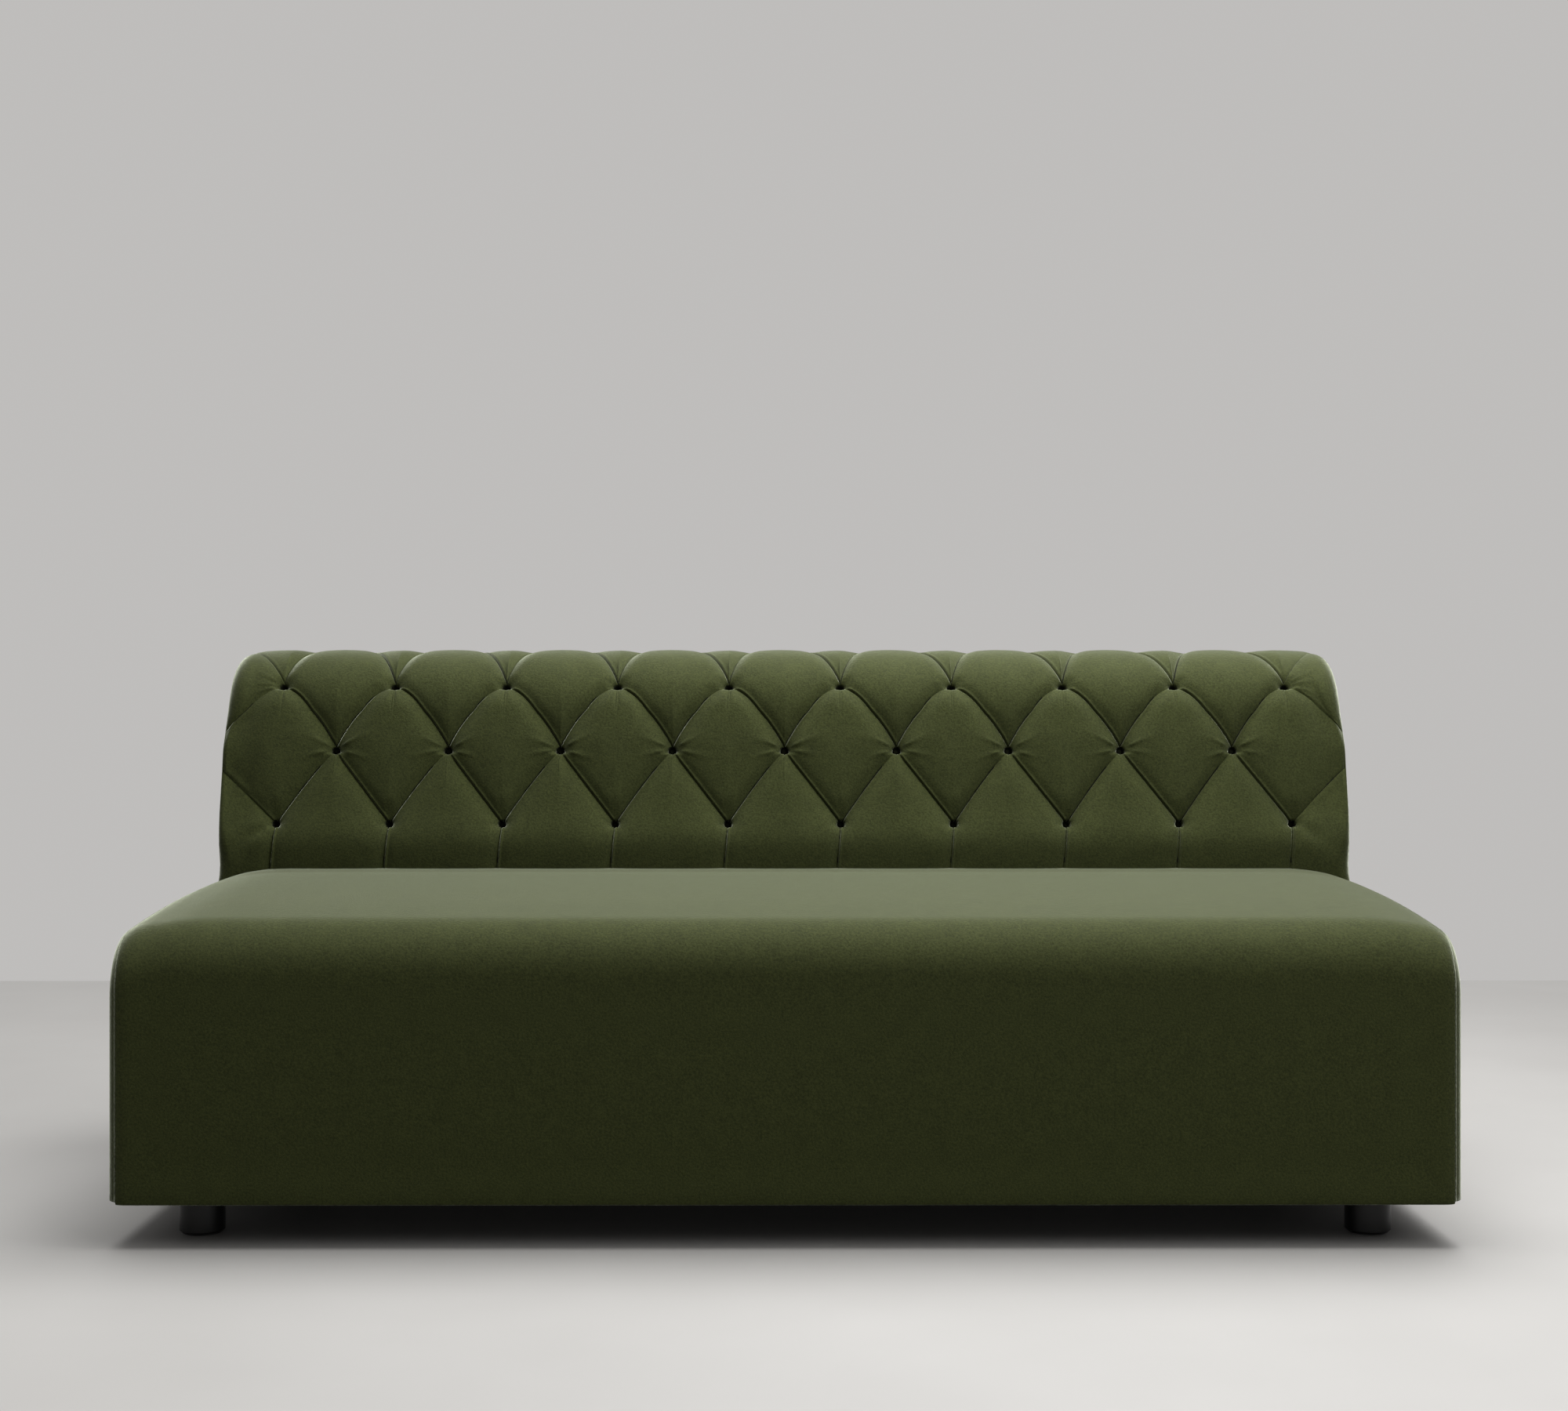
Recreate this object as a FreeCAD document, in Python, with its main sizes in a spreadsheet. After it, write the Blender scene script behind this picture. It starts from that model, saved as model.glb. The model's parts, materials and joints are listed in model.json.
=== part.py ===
# Armless module of a sectional sofa: a crowned seat block, a deep tufted back with a rolled top,
# the frames, springs and padding inside them, and the connectors that lock it to the next module.
# Millimetres. X runs across the sofa, the front faces -Y, Z is up from the floor.
import FreeCAD
import Part
import Sketcher
import math
import os

# Driving sizes
SIZES = {
    # whole module
    "overall_width": 1750,
    "overall_height": 790,
    "foot_height": 57,
    # seat form
    "seat_height": 449,
    "seat_depth": 552,
    "front_roll": 71,
    "seat_crown": 34,
    "side_round_width": 121,
    "side_round_drop": 36,
    "corner_radius": 26,
    # back form
    "back_recline": 12,
    "roll_radius": 120,
    "roll_overhang": 14,
    "end_round": 35,
    "back_tuck": 70,
    # tufting
    "tuft_columns": 10,
    "tuft_depth": 40,
    "tuft_floor": 12,
    "first_row_rise": 72,
    "row_pitch": 116,
    "top_row_angle": 113,
    "pleat_depth": 14,
    "end_wrap": 30,
    "button_diameter": 10,
    "button_height": 4,
    "button_depth": 26,
    "twine_diameter": 2,
    "twine_hole": 4,
    "twine_bite": 8,
    "anchor_diameter": 20,
    "anchor_thickness": 2,
    # cloth and padding
    "cover_thickness": 2,
    "cover_turn_under": 30,
    "batting_thickness": 10,
    "pressed_batting": 4,
    "layer_clearance": 1,
    "back_foam_thickness": 37,
    "spring_pad_thickness": 4,
    "dust_cover_thickness": 1.5,
    "dust_cover_margin": 18,
    # timber
    "rail_thickness": 20,
    "deck_height": 300,
    "spring_rail_setback": 8,
    "rear_rail_height": 100,
    "cross_rail_drop": 20,
    "inner_post_spacing": 580,
    "block_height": 50,
    "board_thickness": 12,
    "outside_board_thickness": 3,
    # seat springs
    "spring_count": 14,
    "spring_bars": 26,
    "spring_width": 50,
    "wire_diameter": 4,
    "tie_wire_diameter": 3,
    "tie_wire_spacing": 180,
    "clip_width": 20,
    "clip_length": 14,
    "clip_wall": 2,
    "wire_clearance": 0.2,
    # feet and their bolts
    "foot_diameter": 60,
    "foot_inset": 100,
    "foot_edge": 3,
    "glide_diameter": 48,
    "glide_thickness": 2,
    "bolt_diameter": 8,
    "bolt_in_foot": 30,
    "tee_nut_barrel": 10,
    "tee_nut_flange": 22,
    "tee_nut_sheet": 1.5,
    "fit_clearance": 0.1,
    # fasteners
    "screw_diameter": 4.5,
    "screw_head": 9,
    "screw_length": 60,
    "screw_step": 65,
    "back_bolt_spacing": 400,
    "back_bolt_height": 180,
    "washer_diameter": 18,
    "washer_thickness": 1.6,
    "nut_flats": 13,
    "nut_height": 6.5,
    "bolt_hole_clearance": 0.5,
    # module connectors, the front pair placed from the front face and the rear pair from the outside back
    "front_connector_place": 200,
    "rear_connector_place": 168,
    "stud_diameter": 10,
    "stud_length": 18,
    "plate_length": 70,
    "plate_width": 34,
    "plate_thickness": 3,
    "link_width": 30,
    "link_thickness": 4,
    "link_play": 0.3,
    "pivot_diameter": 12,
    "pivot_clearance": 0.05,
    "pivot_head": 20,
    "pivot_head_height": 4,
    "pivot_thread": 30,
    "stud_clearance": 0.25,
    "plate_screw_diameter": 4,
    "plate_screw_length": 24,
    "plate_screw_spacing": 50,
}

doc = FreeCAD.newDocument("TuftedModule")
sheet = doc.addObject("Spreadsheet::Sheet", "Sizes")
for row, (alias, amount) in enumerate(SIZES.items(), start=1):
    sheet.set(f"A{row}", alias)
    sheet.set(f"B{row}", str(amount))
    sheet.setAlias(f"B{row}", alias)
doc.recompute()

# Places worked out from the driving sizes. Distances called "deep" run back from the seat's front face.
HALF = "(Sizes.overall_width / 2)"
GAP = "Sizes.layer_clearance"
SKIN = "Sizes.cover_thickness"
RAIL = "Sizes.rail_thickness"
CORE = f"({SKIN} + Sizes.batting_thickness + 2 * {GAP})"
ROLL_Z = "(Sizes.overall_height - Sizes.roll_radius)"
ROLL_DEEP = (
    "(Sizes.seat_depth + (Sizes.roll_radius + sin(Sizes.back_recline) * "
    f"({ROLL_Z} - Sizes.seat_height)) / cos(Sizes.back_recline))"
)
FRONT = f"(-({ROLL_DEEP} + Sizes.roll_radius) / 2)"
UNDER = f"(Sizes.foot_height + {SKIN})"
DECK = "Sizes.deck_height"
FRAME_X = f"({HALF} - {CORE})"
INNER_X = f"({FRAME_X} - {RAIL})"
SEAT_BOX_DEEP = f"(Sizes.seat_depth + Sizes.spring_rail_setback + {RAIL})"
OUTSIDE_DEEP = f"({ROLL_DEEP} + Sizes.roll_radius - Sizes.roll_overhang)"
FRAME_REAR_DEEP = f"({OUTSIDE_DEEP} - {SKIN} - Sizes.outside_board_thickness)"
TURN_UNDER = "acos((Sizes.roll_radius - Sizes.roll_overhang) / Sizes.roll_radius)"
FOAM_FACE = f"(Sizes.tuft_depth + {SKIN} + Sizes.pressed_batting + 2 * {GAP})"
BOARD_FACE = f"({FOAM_FACE} + Sizes.back_foam_thickness)"
ROLL_CORE = f"(Sizes.roll_radius - {BOARD_FACE})"
FACE_LENGTH = (
    f"(({ROLL_Z} + Sizes.roll_radius * sin(Sizes.back_recline) - Sizes.seat_height)"
    " / cos(Sizes.back_recline))"
)
CORE_BITE = f"sqrt({ROLL_CORE} ^ 2 - ({ROLL_CORE} - Sizes.board_thickness) ^ 2)"
BOARD_LENGTH = f"({FACE_LENGTH} - {CORE_BITE} - {GAP})"
FOOT_SIDE = f"({HALF} - Sizes.foot_inset)"
FOOT_TO_RAIL = f"(Sizes.foot_inset - {CORE} - {RAIL})"
REAR_FOOT_DEEP = f"({FRAME_REAR_DEEP} - {RAIL} - {FOOT_TO_RAIL})"
CONNECTOR_X = f"({FRAME_X} - {RAIL} / 2)"
DUST_LOW = "(Sizes.foot_height - Sizes.dust_cover_thickness)"
PLATE_LOW = f"({DUST_LOW} - Sizes.plate_thickness)"
LINK_HIGH = f"({PLATE_LOW} - Sizes.link_play)"
LINK_LOW = f"({LINK_HIGH} - Sizes.link_thickness)"
LINK_REACH = f"(2 * ({HALF} - {CONNECTOR_X}))"

pieces = []


def number(expression):
    """The value of an expression of the size sheet, as a plain number."""
    value = sheet.evalExpression(expression)
    return float(getattr(value, "Value", value))


def size(alias):
    return number("Sizes." + alias)


def deep(expression):
    """The Y of a place given by its distance behind the seat's front face."""
    return f"({FRONT} + {expression})"


def mirrored(side, low, high):
    """A span of X on the right side, or its mirror image on the left."""
    if side > 0:
        return low, high
    return f"-({high})", f"-({low})"


def keep(piece, label):
    piece.Label = label
    pieces.append(piece)
    return piece


def place(piece, x, y, z):
    for axis, expression in zip("xyz", (x, y, z)):
        piece.setExpression(f".Placement.Base.{axis}", expression)


def block(name, span_x, span_y, span_z):
    """A box between three pairs of bounds."""
    box = doc.addObject("Part::Box", name)
    for side, (low, high) in zip(("Length", "Width", "Height"), (span_x, span_y, span_z)):
        box.setExpression(side, f"({high}) - ({low})")
    place(box, span_x[0], span_y[0], span_z[0])
    return box


def rod(name, diameter, start, length, along="z"):
    """A cylinder that starts at a point and runs along one axis."""
    turns = {"x": ((0, 1, 0), 90), "y": ((-1, 0, 0), 90), "z": ((0, 0, 1), 0)}
    axis, angle = turns[along]
    cylinder = doc.addObject("Part::Cylinder", name)
    cylinder.Placement = FreeCAD.Placement(
        FreeCAD.Vector(), FreeCAD.Rotation(FreeCAD.Vector(*axis), angle)
    )
    cylinder.setExpression("Radius", f"({diameter}) / 2")
    cylinder.setExpression("Height", length)
    place(cylinder, *start)
    return cylinder


def joined(name, shapes):
    fusion = doc.addObject("Part::MultiFuse", name)
    fusion.Shapes = shapes
    return fusion


def drilled(name, base, tools):
    """A piece with holes cut through it."""
    cut = doc.addObject("Part::Cut", name)
    cut.Base = base
    cut.Tool = tools[0] if len(tools) == 1 else joined(name + "_holes", tools)
    return cut


def group(name, shapes):
    """Separate copies that share one node."""
    compound = doc.addObject("Part::Compound", name)
    compound.Links = shapes
    return compound


def formed(name, shape):
    """A curved piece whose form no sketch or primitive holds."""
    feature = doc.addObject("Part::Feature", name)
    feature.Shape = shape
    return feature


def sketch_plane(body, role):
    return [plane for plane in body.Origin.OriginFeatures if plane.Role == role][0]


def outline_sketch(body, name, role, corners):
    """A closed outline of straight runs, each corner held by its two distances from the origin."""
    sketch = body.newObject("Sketcher::SketchObject", name)
    sketch.AttachmentSupport = [(sketch_plane(body, role), "")]
    sketch.MapMode = "FlatFace"
    points = [FreeCAD.Vector(number(across), number(up), 0) for across, up in corners]
    count = len(points)
    for index in range(count):
        sketch.addGeometry(Part.LineSegment(points[index], points[(index + 1) % count]))
    for index in range(count):
        following = (index + 1) % count
        sketch.addConstraint(Sketcher.Constraint("Coincident", index, 2, following, 1))
    for index, corner in enumerate(corners):
        for kind, expression in zip(("DistanceX", "DistanceY"), corner):
            held = Sketcher.Constraint(kind, -1, 1, index, 1, number(expression))
            number_of_constraint = sketch.addConstraint(held)
            sketch.setExpression(f"Constraints[{number_of_constraint}]", expression)
    return sketch


def panel(name, corners, span_x):
    """A flat board cut to an outline in the YZ plane and as thick as its span of X."""
    body = doc.addObject("PartDesign::Body", name)
    pad = body.newObject("PartDesign::Pad", name + "_pad")
    pad.Profile = outline_sketch(body, name + "_outline", "YZ_Plane", corners)
    pad.setExpression("Length", f"({span_x[1]}) - ({span_x[0]})")
    body.setExpression(".Placement.Base.x", span_x[0])
    return body


# Seat form
def seat_drop(x):
    """How far the seat's top falls at a distance x from the middle."""
    width = size("side_round_width")
    out = max(0.0, (abs(x) - (number(HALF) - width)) / width)
    return size("side_round_drop") * (1 - math.sqrt(max(0.0, 1 - out * out)))


def corner_setback(x):
    """How far the seat's front face falls back in its rounded vertical corners."""
    radius = size("corner_radius")
    out = max(0.0, abs(x) - (number(HALF) - radius))
    return radius - math.sqrt(max(0.0, radius * radius - out * out))


def arc_or_line(first, middle, last):
    """An arc through three points, or a straight run where they lie in line."""
    if (middle - first).cross(last - middle).Length < 1e-6:
        return Part.LineSegment(first, last).toShape()
    return Part.Arc(first, middle, last).toShape()


def run(first, last):
    return Part.LineSegment(first, last).toShape()


def seat_edges(x, inset, low, tail):
    """The seat's section at x, inset from its surface: up the front, over the crown and down the rear."""
    front_y = number(FRONT)
    height = size("seat_height") - seat_drop(x)
    depth = size("seat_depth")
    crown = (depth * depth + size("seat_crown") ** 2) / (2 * size("seat_crown"))
    face = inset + corner_setback(x)
    roll = size("front_roll") - inset
    rear = depth - size("layer_clearance") - inset
    centre_deep = face + roll
    reach = crown - inset - roll
    away = depth - centre_deep
    centre_high = height - crown + math.sqrt(reach * reach - away * away)

    def spot(u, z):
        return FreeCAD.Vector(x, front_y + u, z)

    def on_roll(angle):
        return spot(centre_deep - roll * math.cos(angle), centre_high + roll * math.sin(angle))

    def on_crown(u):
        rise = math.sqrt((crown - inset) ** 2 - (depth - u) ** 2)
        return spot(u, height - crown + rise)

    lean = math.pi / 2 - math.asin(away / reach)
    meet = centre_deep - roll * math.cos(lean)
    front_low = spot(face, low)
    return [
        run(front_low, on_roll(0)),
        Part.Arc(on_roll(0), on_roll(lean / 2), on_roll(lean)).toShape(),
        Part.Arc(on_roll(lean), on_crown((meet + rear) / 2), on_crown(rear)).toShape(),
        run(on_crown(rear), spot(rear, tail)),
    ]


def ends(edges):
    return edges[0].valueAt(edges[0].FirstParameter), edges[-1].valueAt(edges[-1].LastParameter)


# Angles of the sections round the seat's rounded-over sides
SIDE_SECTIONS = (0, 18, 35, 50, 63, 74)


def seat_stations(end):
    """Section places from one end of the seat to the other, close together where its sides round over."""
    width = size("side_round_width")
    start = number(HALF) - width
    places = [start + width * math.sin(math.radians(angle)) for angle in SIDE_SECTIONS]
    places = [x for x in places if x < end - 1] + [end]
    return [-x for x in reversed(places)] + places


def seat_shell(end, outer, inner, low, tail, turn_under=0.0):
    """A layer that wraps the front, top and rear of the seat."""
    sections = []
    for x in seat_stations(end):
        outside = seat_edges(x, outer, low, tail)
        inside = seat_edges(x, inner, low + (inner - outer if turn_under else 0), tail)
        out_start, out_end = ends(outside)
        in_start, in_end = ends(inside)
        closing = [run(in_start, out_start)]
        if turn_under:
            back_y = number(FRONT) + turn_under
            lip_low = FreeCAD.Vector(x, back_y, out_start.z)
            lip_high = FreeCAD.Vector(x, back_y, in_start.z)
            closing = [run(in_start, lip_high), run(lip_high, lip_low), run(lip_low, out_start)]
        sections.append(Part.Wire(outside + [run(out_end, in_end)] + inside[::-1] + closing))
    return Part.makeLoft(sections, True, True)


def seat_slab(x, inset, low):
    """A closed outline of the seat at x, as a wire."""
    edges = seat_edges(x, inset, low, low)
    first, last = ends(edges)
    return Part.Wire(edges + [run(last, first)])


def seat_block(end, inset, low):
    return Part.makeLoft([seat_slab(x, inset, low) for x in seat_stations(end)], True, True)


def seat_side(side, inner_x, outer_x, inset, low):
    """A flat layer over one side of the seat."""
    face = Part.Face(seat_slab(outer_x, inset, low))
    face.translate(FreeCAD.Vector((inner_x if side > 0 else -outer_x) - outer_x, 0, 0))
    return face.extrude(FreeCAD.Vector(outer_x - inner_x, 0, 0))


# Back form
def recline():
    return math.radians(size("back_recline"))


def face_length():
    """The straight run of the back's face, from the seat line to the start of the roll."""
    return number(FACE_LENGTH)


def pitch_radius():
    """The radius at which the row pitch is measured round the roll: the bottom of the tufts."""
    return size("roll_radius") - size("tuft_depth")


def along_roll(angle):
    """The distance along the face of a place on the roll, by its angle from the front horizontal."""
    return face_length() + pitch_radius() * (math.radians(angle) - recline())


def back_end():
    return along_roll(180 + number(TURN_UNDER))


def back_spot(x, along, inward):
    """A point of the back, by its distance along the face from the seat line and its depth inward."""
    lean = recline()
    deep_at, high_at = size("seat_depth"), size("seat_height")
    straight = face_length()
    if along <= straight:
        rise = along if along < 0 else along * math.cos(lean)
        back = 0.0 if along < 0 else along * math.sin(lean)
        deep_at += back + inward * math.cos(lean)
        high_at += rise - inward * math.sin(lean)
    else:
        angle = lean + (along - straight) / pitch_radius()
        radius = size("roll_radius") - inward
        deep_at = number(ROLL_DEEP) - radius * math.cos(angle)
        high_at = number(ROLL_Z) + radius * math.sin(angle)
    return FreeCAD.Vector(x, number(FRONT) + deep_at, high_at)


def tuft_pitch():
    return size("overall_width") / size("tuft_columns")


# How many tufts each row lacks, from the top row to the lowest: a short row sits between the columns
ROWS_SHORT_BY = (1, 0, 1, 0)


def row_places():
    """Distances along the face of the rows of tufts, from the top row behind the crest to the lowest."""
    low = size("first_row_rise")
    step = size("row_pitch")
    return along_roll(size("top_row_angle")), low + 2 * step, low + step, low


def end_rounding(x):
    radius = size("end_round")
    out = max(0.0, abs(x) - (number(HALF) - radius))
    return radius - math.sqrt(max(0.0, radius * radius - out * out))


def column_share(x):
    """0 on a column of the second and fourth rows, 1 on a column of the first and third rows."""
    pitch = tuft_pitch()
    last = number(HALF) - pitch / 2
    if abs(x) > last:
        return (abs(x) - last) / (pitch / 2 + size("end_wrap"))
    offset = (x - last) % pitch
    return min(offset, pitch - offset) / (pitch / 2)


# A puff's section: places along it, the share of its crest's depth there, and the share of the way that it
# has sunk from that crest to its pleat. The pleats die out at the tacked foot and at the end of the roll.
BETWEEN_PLEATS = ((0, 1, 1), (0.25, 1, 0.125), (0.5, 1, 0), (0.75, 1, 0.125), (1, 1, 1))
FROM_PLEAT = ((0, 1, 1), (0.125, 1, 0.3), (0.25, 1, 0), (0.625, 0.9, 0), (1, 0, 0))
TO_PLEAT = tuple((1 - part, raised, sunk) for part, raised, sunk in reversed(FROM_PLEAT))


# How quickly, as powers, a pleat falls towards its tufts and a crest towards the tips of its puff
PLEAT_FALL = 2.5
CREST_FALL = 4
EDGE_CREST_FALL = 2


def puff_edges(x, extra):
    """The tufted surface's section at x, pushed inward by extra: four puffs between three pleats."""
    share = column_share(x)
    top, first, second, third = row_places()
    floor = size("tuft_floor") / 2
    deepest, pleat = size("tuft_depth"), size("pleat_depth")
    sunk = extra + end_rounding(x)
    knots = [
        third + share * (second - floor - third),
        first - floor + share * (second + floor - first + floor),
        first + floor + share * (top - first - floor),
    ]
    knot_depth = pleat + (deepest - pleat) * abs(2 * share - 1) ** PLEAT_FALL
    crests = [
        pleat * (1 - share) ** EDGE_CREST_FALL,
        deepest * share ** CREST_FALL,
        deepest * (1 - share) ** CREST_FALL,
        pleat * share ** EDGE_CREST_FALL,
    ]
    spans = [
        (-size("back_tuck"), knots[0], TO_PLEAT),
        (knots[0], knots[1], BETWEEN_PLEATS),
        (knots[1], knots[2], BETWEEN_PLEATS),
        (knots[2], back_end(), FROM_PLEAT),
    ]
    edges = []
    for (start, stop, shape), crest in zip(spans, crests):
        points = []
        for part, crest_share, pleat_share in shape:
            inward = sunk + crest * crest_share + (knot_depth - crest) * pleat_share
            points.append(back_spot(x, start + part * (stop - start), inward))
        edges += [arc_or_line(*points[0:3]), arc_or_line(*points[2:5])]
    return edges


def plain_edges(x, inward):
    """The back's section at x at an even depth inward, from its hidden foot to the end of the roll."""
    straight, finish = face_length(), back_end()
    places = [-size("back_tuck"), 0.0, straight, (straight + finish) / 2, finish]
    foot, seat_line, start, middle, last = [back_spot(x, along, inward) for along in places]
    quarter = [back_spot(x, straight + (finish - straight) * share, inward) for share in (0.25, 0.75)]
    return [
        run(foot, seat_line),
        run(seat_line, start),
        Part.Arc(start, quarter[0], middle).toShape(),
        Part.Arc(middle, quarter[1], last).toShape(),
    ]


# Sections across the back: shares of the way from one column to the next, and angles round its ends
COLUMN_SECTIONS = (0, 0.1, 0.27, 0.5, 0.73, 0.9)
END_SECTIONS = (0, 30, 52)


def back_stations(end):
    """Section places across the back: close together beside each tuft and in the rounded ends."""
    half_pitch = tuft_pitch() / 2
    columns = int(size("tuft_columns"))
    last = number(HALF) - half_pitch
    places = set()
    for half in range(2 * columns - 1):
        centre = -last + half * half_pitch
        for share in COLUMN_SECTIONS:
            x = centre + share * half_pitch
            if abs(x) <= last + 1e-6:
                places.add(round(x, 4))
    radius = size("end_round")
    rounding = [number(HALF) - radius + radius * math.sin(math.radians(angle)) for angle in END_SECTIONS]
    beside = [last + share * half_pitch for share in COLUMN_SECTIONS[1:3]]
    for x in beside + rounding + [end]:
        places.update((round(x, 4), round(-x, 4)))
    return sorted(places)


def tufted_layer(end, outer, inside):
    """A layer under the tufted surface; inside gives the edges of its inner face at each station."""
    sections = []
    for x in back_stations(end):
        outside = puff_edges(x, outer)
        lining = inside(x)
        out_start, out_end = ends(outside)
        in_start, in_end = ends(lining)
        closing = [run(in_start, out_start)]
        sections.append(Part.Wire(outside + [run(out_end, in_end)] + lining[::-1] + closing))
    return Part.makeLoft(sections, True, True)


def tuft_frames():
    """Each tuft's column, its distance along the face and whether its twine ends in the roll core."""
    pitch = tuft_pitch()
    columns = int(size("tuft_columns"))
    board = number(BOARD_LENGTH)
    for along, short in zip(row_places(), ROWS_SHORT_BY):
        count = columns - short
        for column in range(count):
            yield (column - (count - 1) / 2) * pitch, along, along > board


def tuft_stub(x, along, radius, shallow, deepest):
    """A round bar along a tuft's axis between two depths below the surface."""
    outer, inner = back_spot(x, along, shallow), back_spot(x, along, deepest)
    return Part.makeCylinder(radius, (inner - outer).Length, outer, inner - outer)


def anchor_discs(room):
    """The discs that hold the twines behind the tufting board, grown by a clearance."""
    behind = number(BOARD_FACE) + size("board_thickness")
    radius = size("anchor_diameter") / 2 + room
    return [
        tuft_stub(x, along, radius, behind, behind + size("anchor_thickness") + room)
        for x, along, on_roll in tuft_frames()
        if not on_roll
    ]


# The four bolts between the seat and the back, in steps of their spacing from the middle
BOLT_SPREAD = (-1.5, -0.5, 0.5, 1.5)


# Timber of the seat and the back
def build_frames():
    corner = f"(Sizes.corner_radius - sqrt(Sizes.corner_radius ^ 2 - (Sizes.corner_radius - {CORE}) ^ 2))"
    standing = (UNDER, DECK)
    across = (f"-{INNER_X}", INNER_X)
    keep(block("front_rail", across, (deep(CORE), deep(f"{CORE} + {RAIL}")), standing), "front_rail")
    spring_low = f"{SEAT_BOX_DEEP} - {RAIL}"
    bolt_places = [f"{share} * Sizes.back_bolt_spacing" for share in BOLT_SPREAD]
    rails = (
        ("spring_rail", spring_low, SEAT_BOX_DEEP),
        ("back_foot_rail", SEAT_BOX_DEEP, f"{SEAT_BOX_DEEP} + {RAIL}"),
    )
    for label, near, far in rails:
        blank = block(label + "_blank", across, (deep(near), deep(far)), standing)
        holes = [
            rod(
                f"{label}_hole_{index}",
                "Sizes.bolt_diameter + 2 * Sizes.bolt_hole_clearance",
                (x, deep(near), "Sizes.back_bolt_height"),
                RAIL,
                "y",
            )
            for index, x in enumerate(bolt_places)
        ]
        keep(drilled(label, blank, holes), label)
    rear_span = (deep(f"{FRAME_REAR_DEEP} - {RAIL}"), deep(FRAME_REAR_DEEP))
    rear_high = f"{UNDER} + Sizes.rear_rail_height"
    keep(block("back_rear_rail", across, rear_span, (UNDER, rear_high)), "back_rear_rail")
    for side, word in ((-1, "left"), (1, "right")):
        span = mirrored(side, INNER_X, FRAME_X)
        rail_y = (deep(f"{CORE} + {corner}"), deep(SEAT_BOX_DEEP))
        keep(block(f"{word}_side_rail", span, rail_y, standing), f"{word}_side_rail")
        middle = f"{side} * Sizes.inner_post_spacing / 2"
        cross_span = (f"{middle} - {RAIL} / 2", f"{middle} + {RAIL} / 2")
        cross_y = (deep(f"{CORE} + {RAIL}"), deep(spring_low))
        cross = block(f"{word}_cross_rail", cross_span, cross_y, (UNDER, f"{DECK} - Sizes.cross_rail_drop"))
        keep(cross, f"{word}_cross_rail")
        build_end_post(word, span)
        build_inner_post(word, cross_span)
    build_roll_core_and_board()
    build_corner_blocks()


def face_point(along, inward):
    """A point of the reclined face, as a pair of expressions for Y and Z."""
    out = f"Sizes.seat_depth + {along} * sin(Sizes.back_recline) + {inward} * cos(Sizes.back_recline)"
    up = f"Sizes.seat_height + {along} * cos(Sizes.back_recline) - {inward} * sin(Sizes.back_recline)"
    return deep(out), up


def hidden_foot(inward):
    """The lowest point of the back's padding at a depth below its surface."""
    out = f"Sizes.seat_depth + {inward} * cos(Sizes.back_recline)"
    return deep(out), f"Sizes.seat_height - Sizes.back_tuck - {inward} * sin(Sizes.back_recline)"


def under_roll(deep_at):
    """The height just under the end of the padded roll at a place behind the roll's centre."""
    return f"{ROLL_Z} - ({deep_at} - {ROLL_DEEP}) * tan({TURN_UNDER}) - {GAP} / cos({TURN_UNDER})"


def roll_tangent(inward):
    """Where the straight face meets the roll at a depth below the surface."""
    radius = f"(Sizes.roll_radius - {inward})"
    out = f"{ROLL_DEEP} - {radius} * cos(Sizes.back_recline)"
    return deep(out), f"{ROLL_Z} + {radius} * sin(Sizes.back_recline)"


def end_profile(name, span):
    """A board as large as the back's end, with a round head under the padded roll."""
    seat_line = face_point("0", FOAM_FACE)
    corners = [
        (deep(SEAT_BOX_DEEP), UNDER),
        (deep(FRAME_REAR_DEEP), UNDER),
        (deep(FRAME_REAR_DEEP), under_roll(FRAME_REAR_DEEP)),
        (deep(ROLL_DEEP), ROLL_Z),
        roll_tangent(FOAM_FACE),
        seat_line,
        hidden_foot(FOAM_FACE),
        (deep(SEAT_BOX_DEEP), DECK),
    ]
    board = panel(name + "_board", corners, span)
    head_size = f"2 * (Sizes.roll_radius - {FOAM_FACE})"
    thickness = f"({span[1]}) - ({span[0]})"
    head = rod(name + "_head", head_size, (span[0], deep(ROLL_DEEP), ROLL_Z), thickness, "x")
    return joined(name, [board, head])


def build_end_post(word, span):
    keep(end_profile(f"{word}_end_post", span), f"{word}_end_post")


def build_inner_post(word, span):
    """A rib behind the tufting board, with a cradle for the roll core."""
    behind = f"({BOARD_FACE} + Sizes.board_thickness)"
    rail_inside = f"{FRAME_REAR_DEEP} - {RAIL}"
    rail_top = f"{UNDER} + Sizes.rear_rail_height"
    seat_line = face_point("0", behind)
    corners = [
        (deep(f"{SEAT_BOX_DEEP} + {RAIL}"), UNDER),
        (deep(rail_inside), UNDER),
        (deep(rail_inside), rail_top),
        (deep(FRAME_REAR_DEEP), rail_top),
        (deep(FRAME_REAR_DEEP), under_roll(FRAME_REAR_DEEP)),
        (deep(ROLL_DEEP), ROLL_Z),
        roll_tangent(behind),
        seat_line,
        (seat_line[0], DECK),
        (deep(f"{SEAT_BOX_DEEP} + {RAIL}"), DECK),
    ]
    rib = panel(f"{word}_rib", corners, span)
    cradle_size = f"2 * ({ROLL_CORE} + Sizes.fit_clearance)"
    cradle = rod(f"{word}_cradle", cradle_size, (span[0], deep(ROLL_DEEP), ROLL_Z), RAIL, "x")
    room = formed(f"{word}_anchor_room", Part.Compound(anchor_discs(size("layer_clearance"))))
    keep(drilled(f"{word}_inner_post", rib, [cradle, room]), f"{word}_inner_post")


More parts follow.
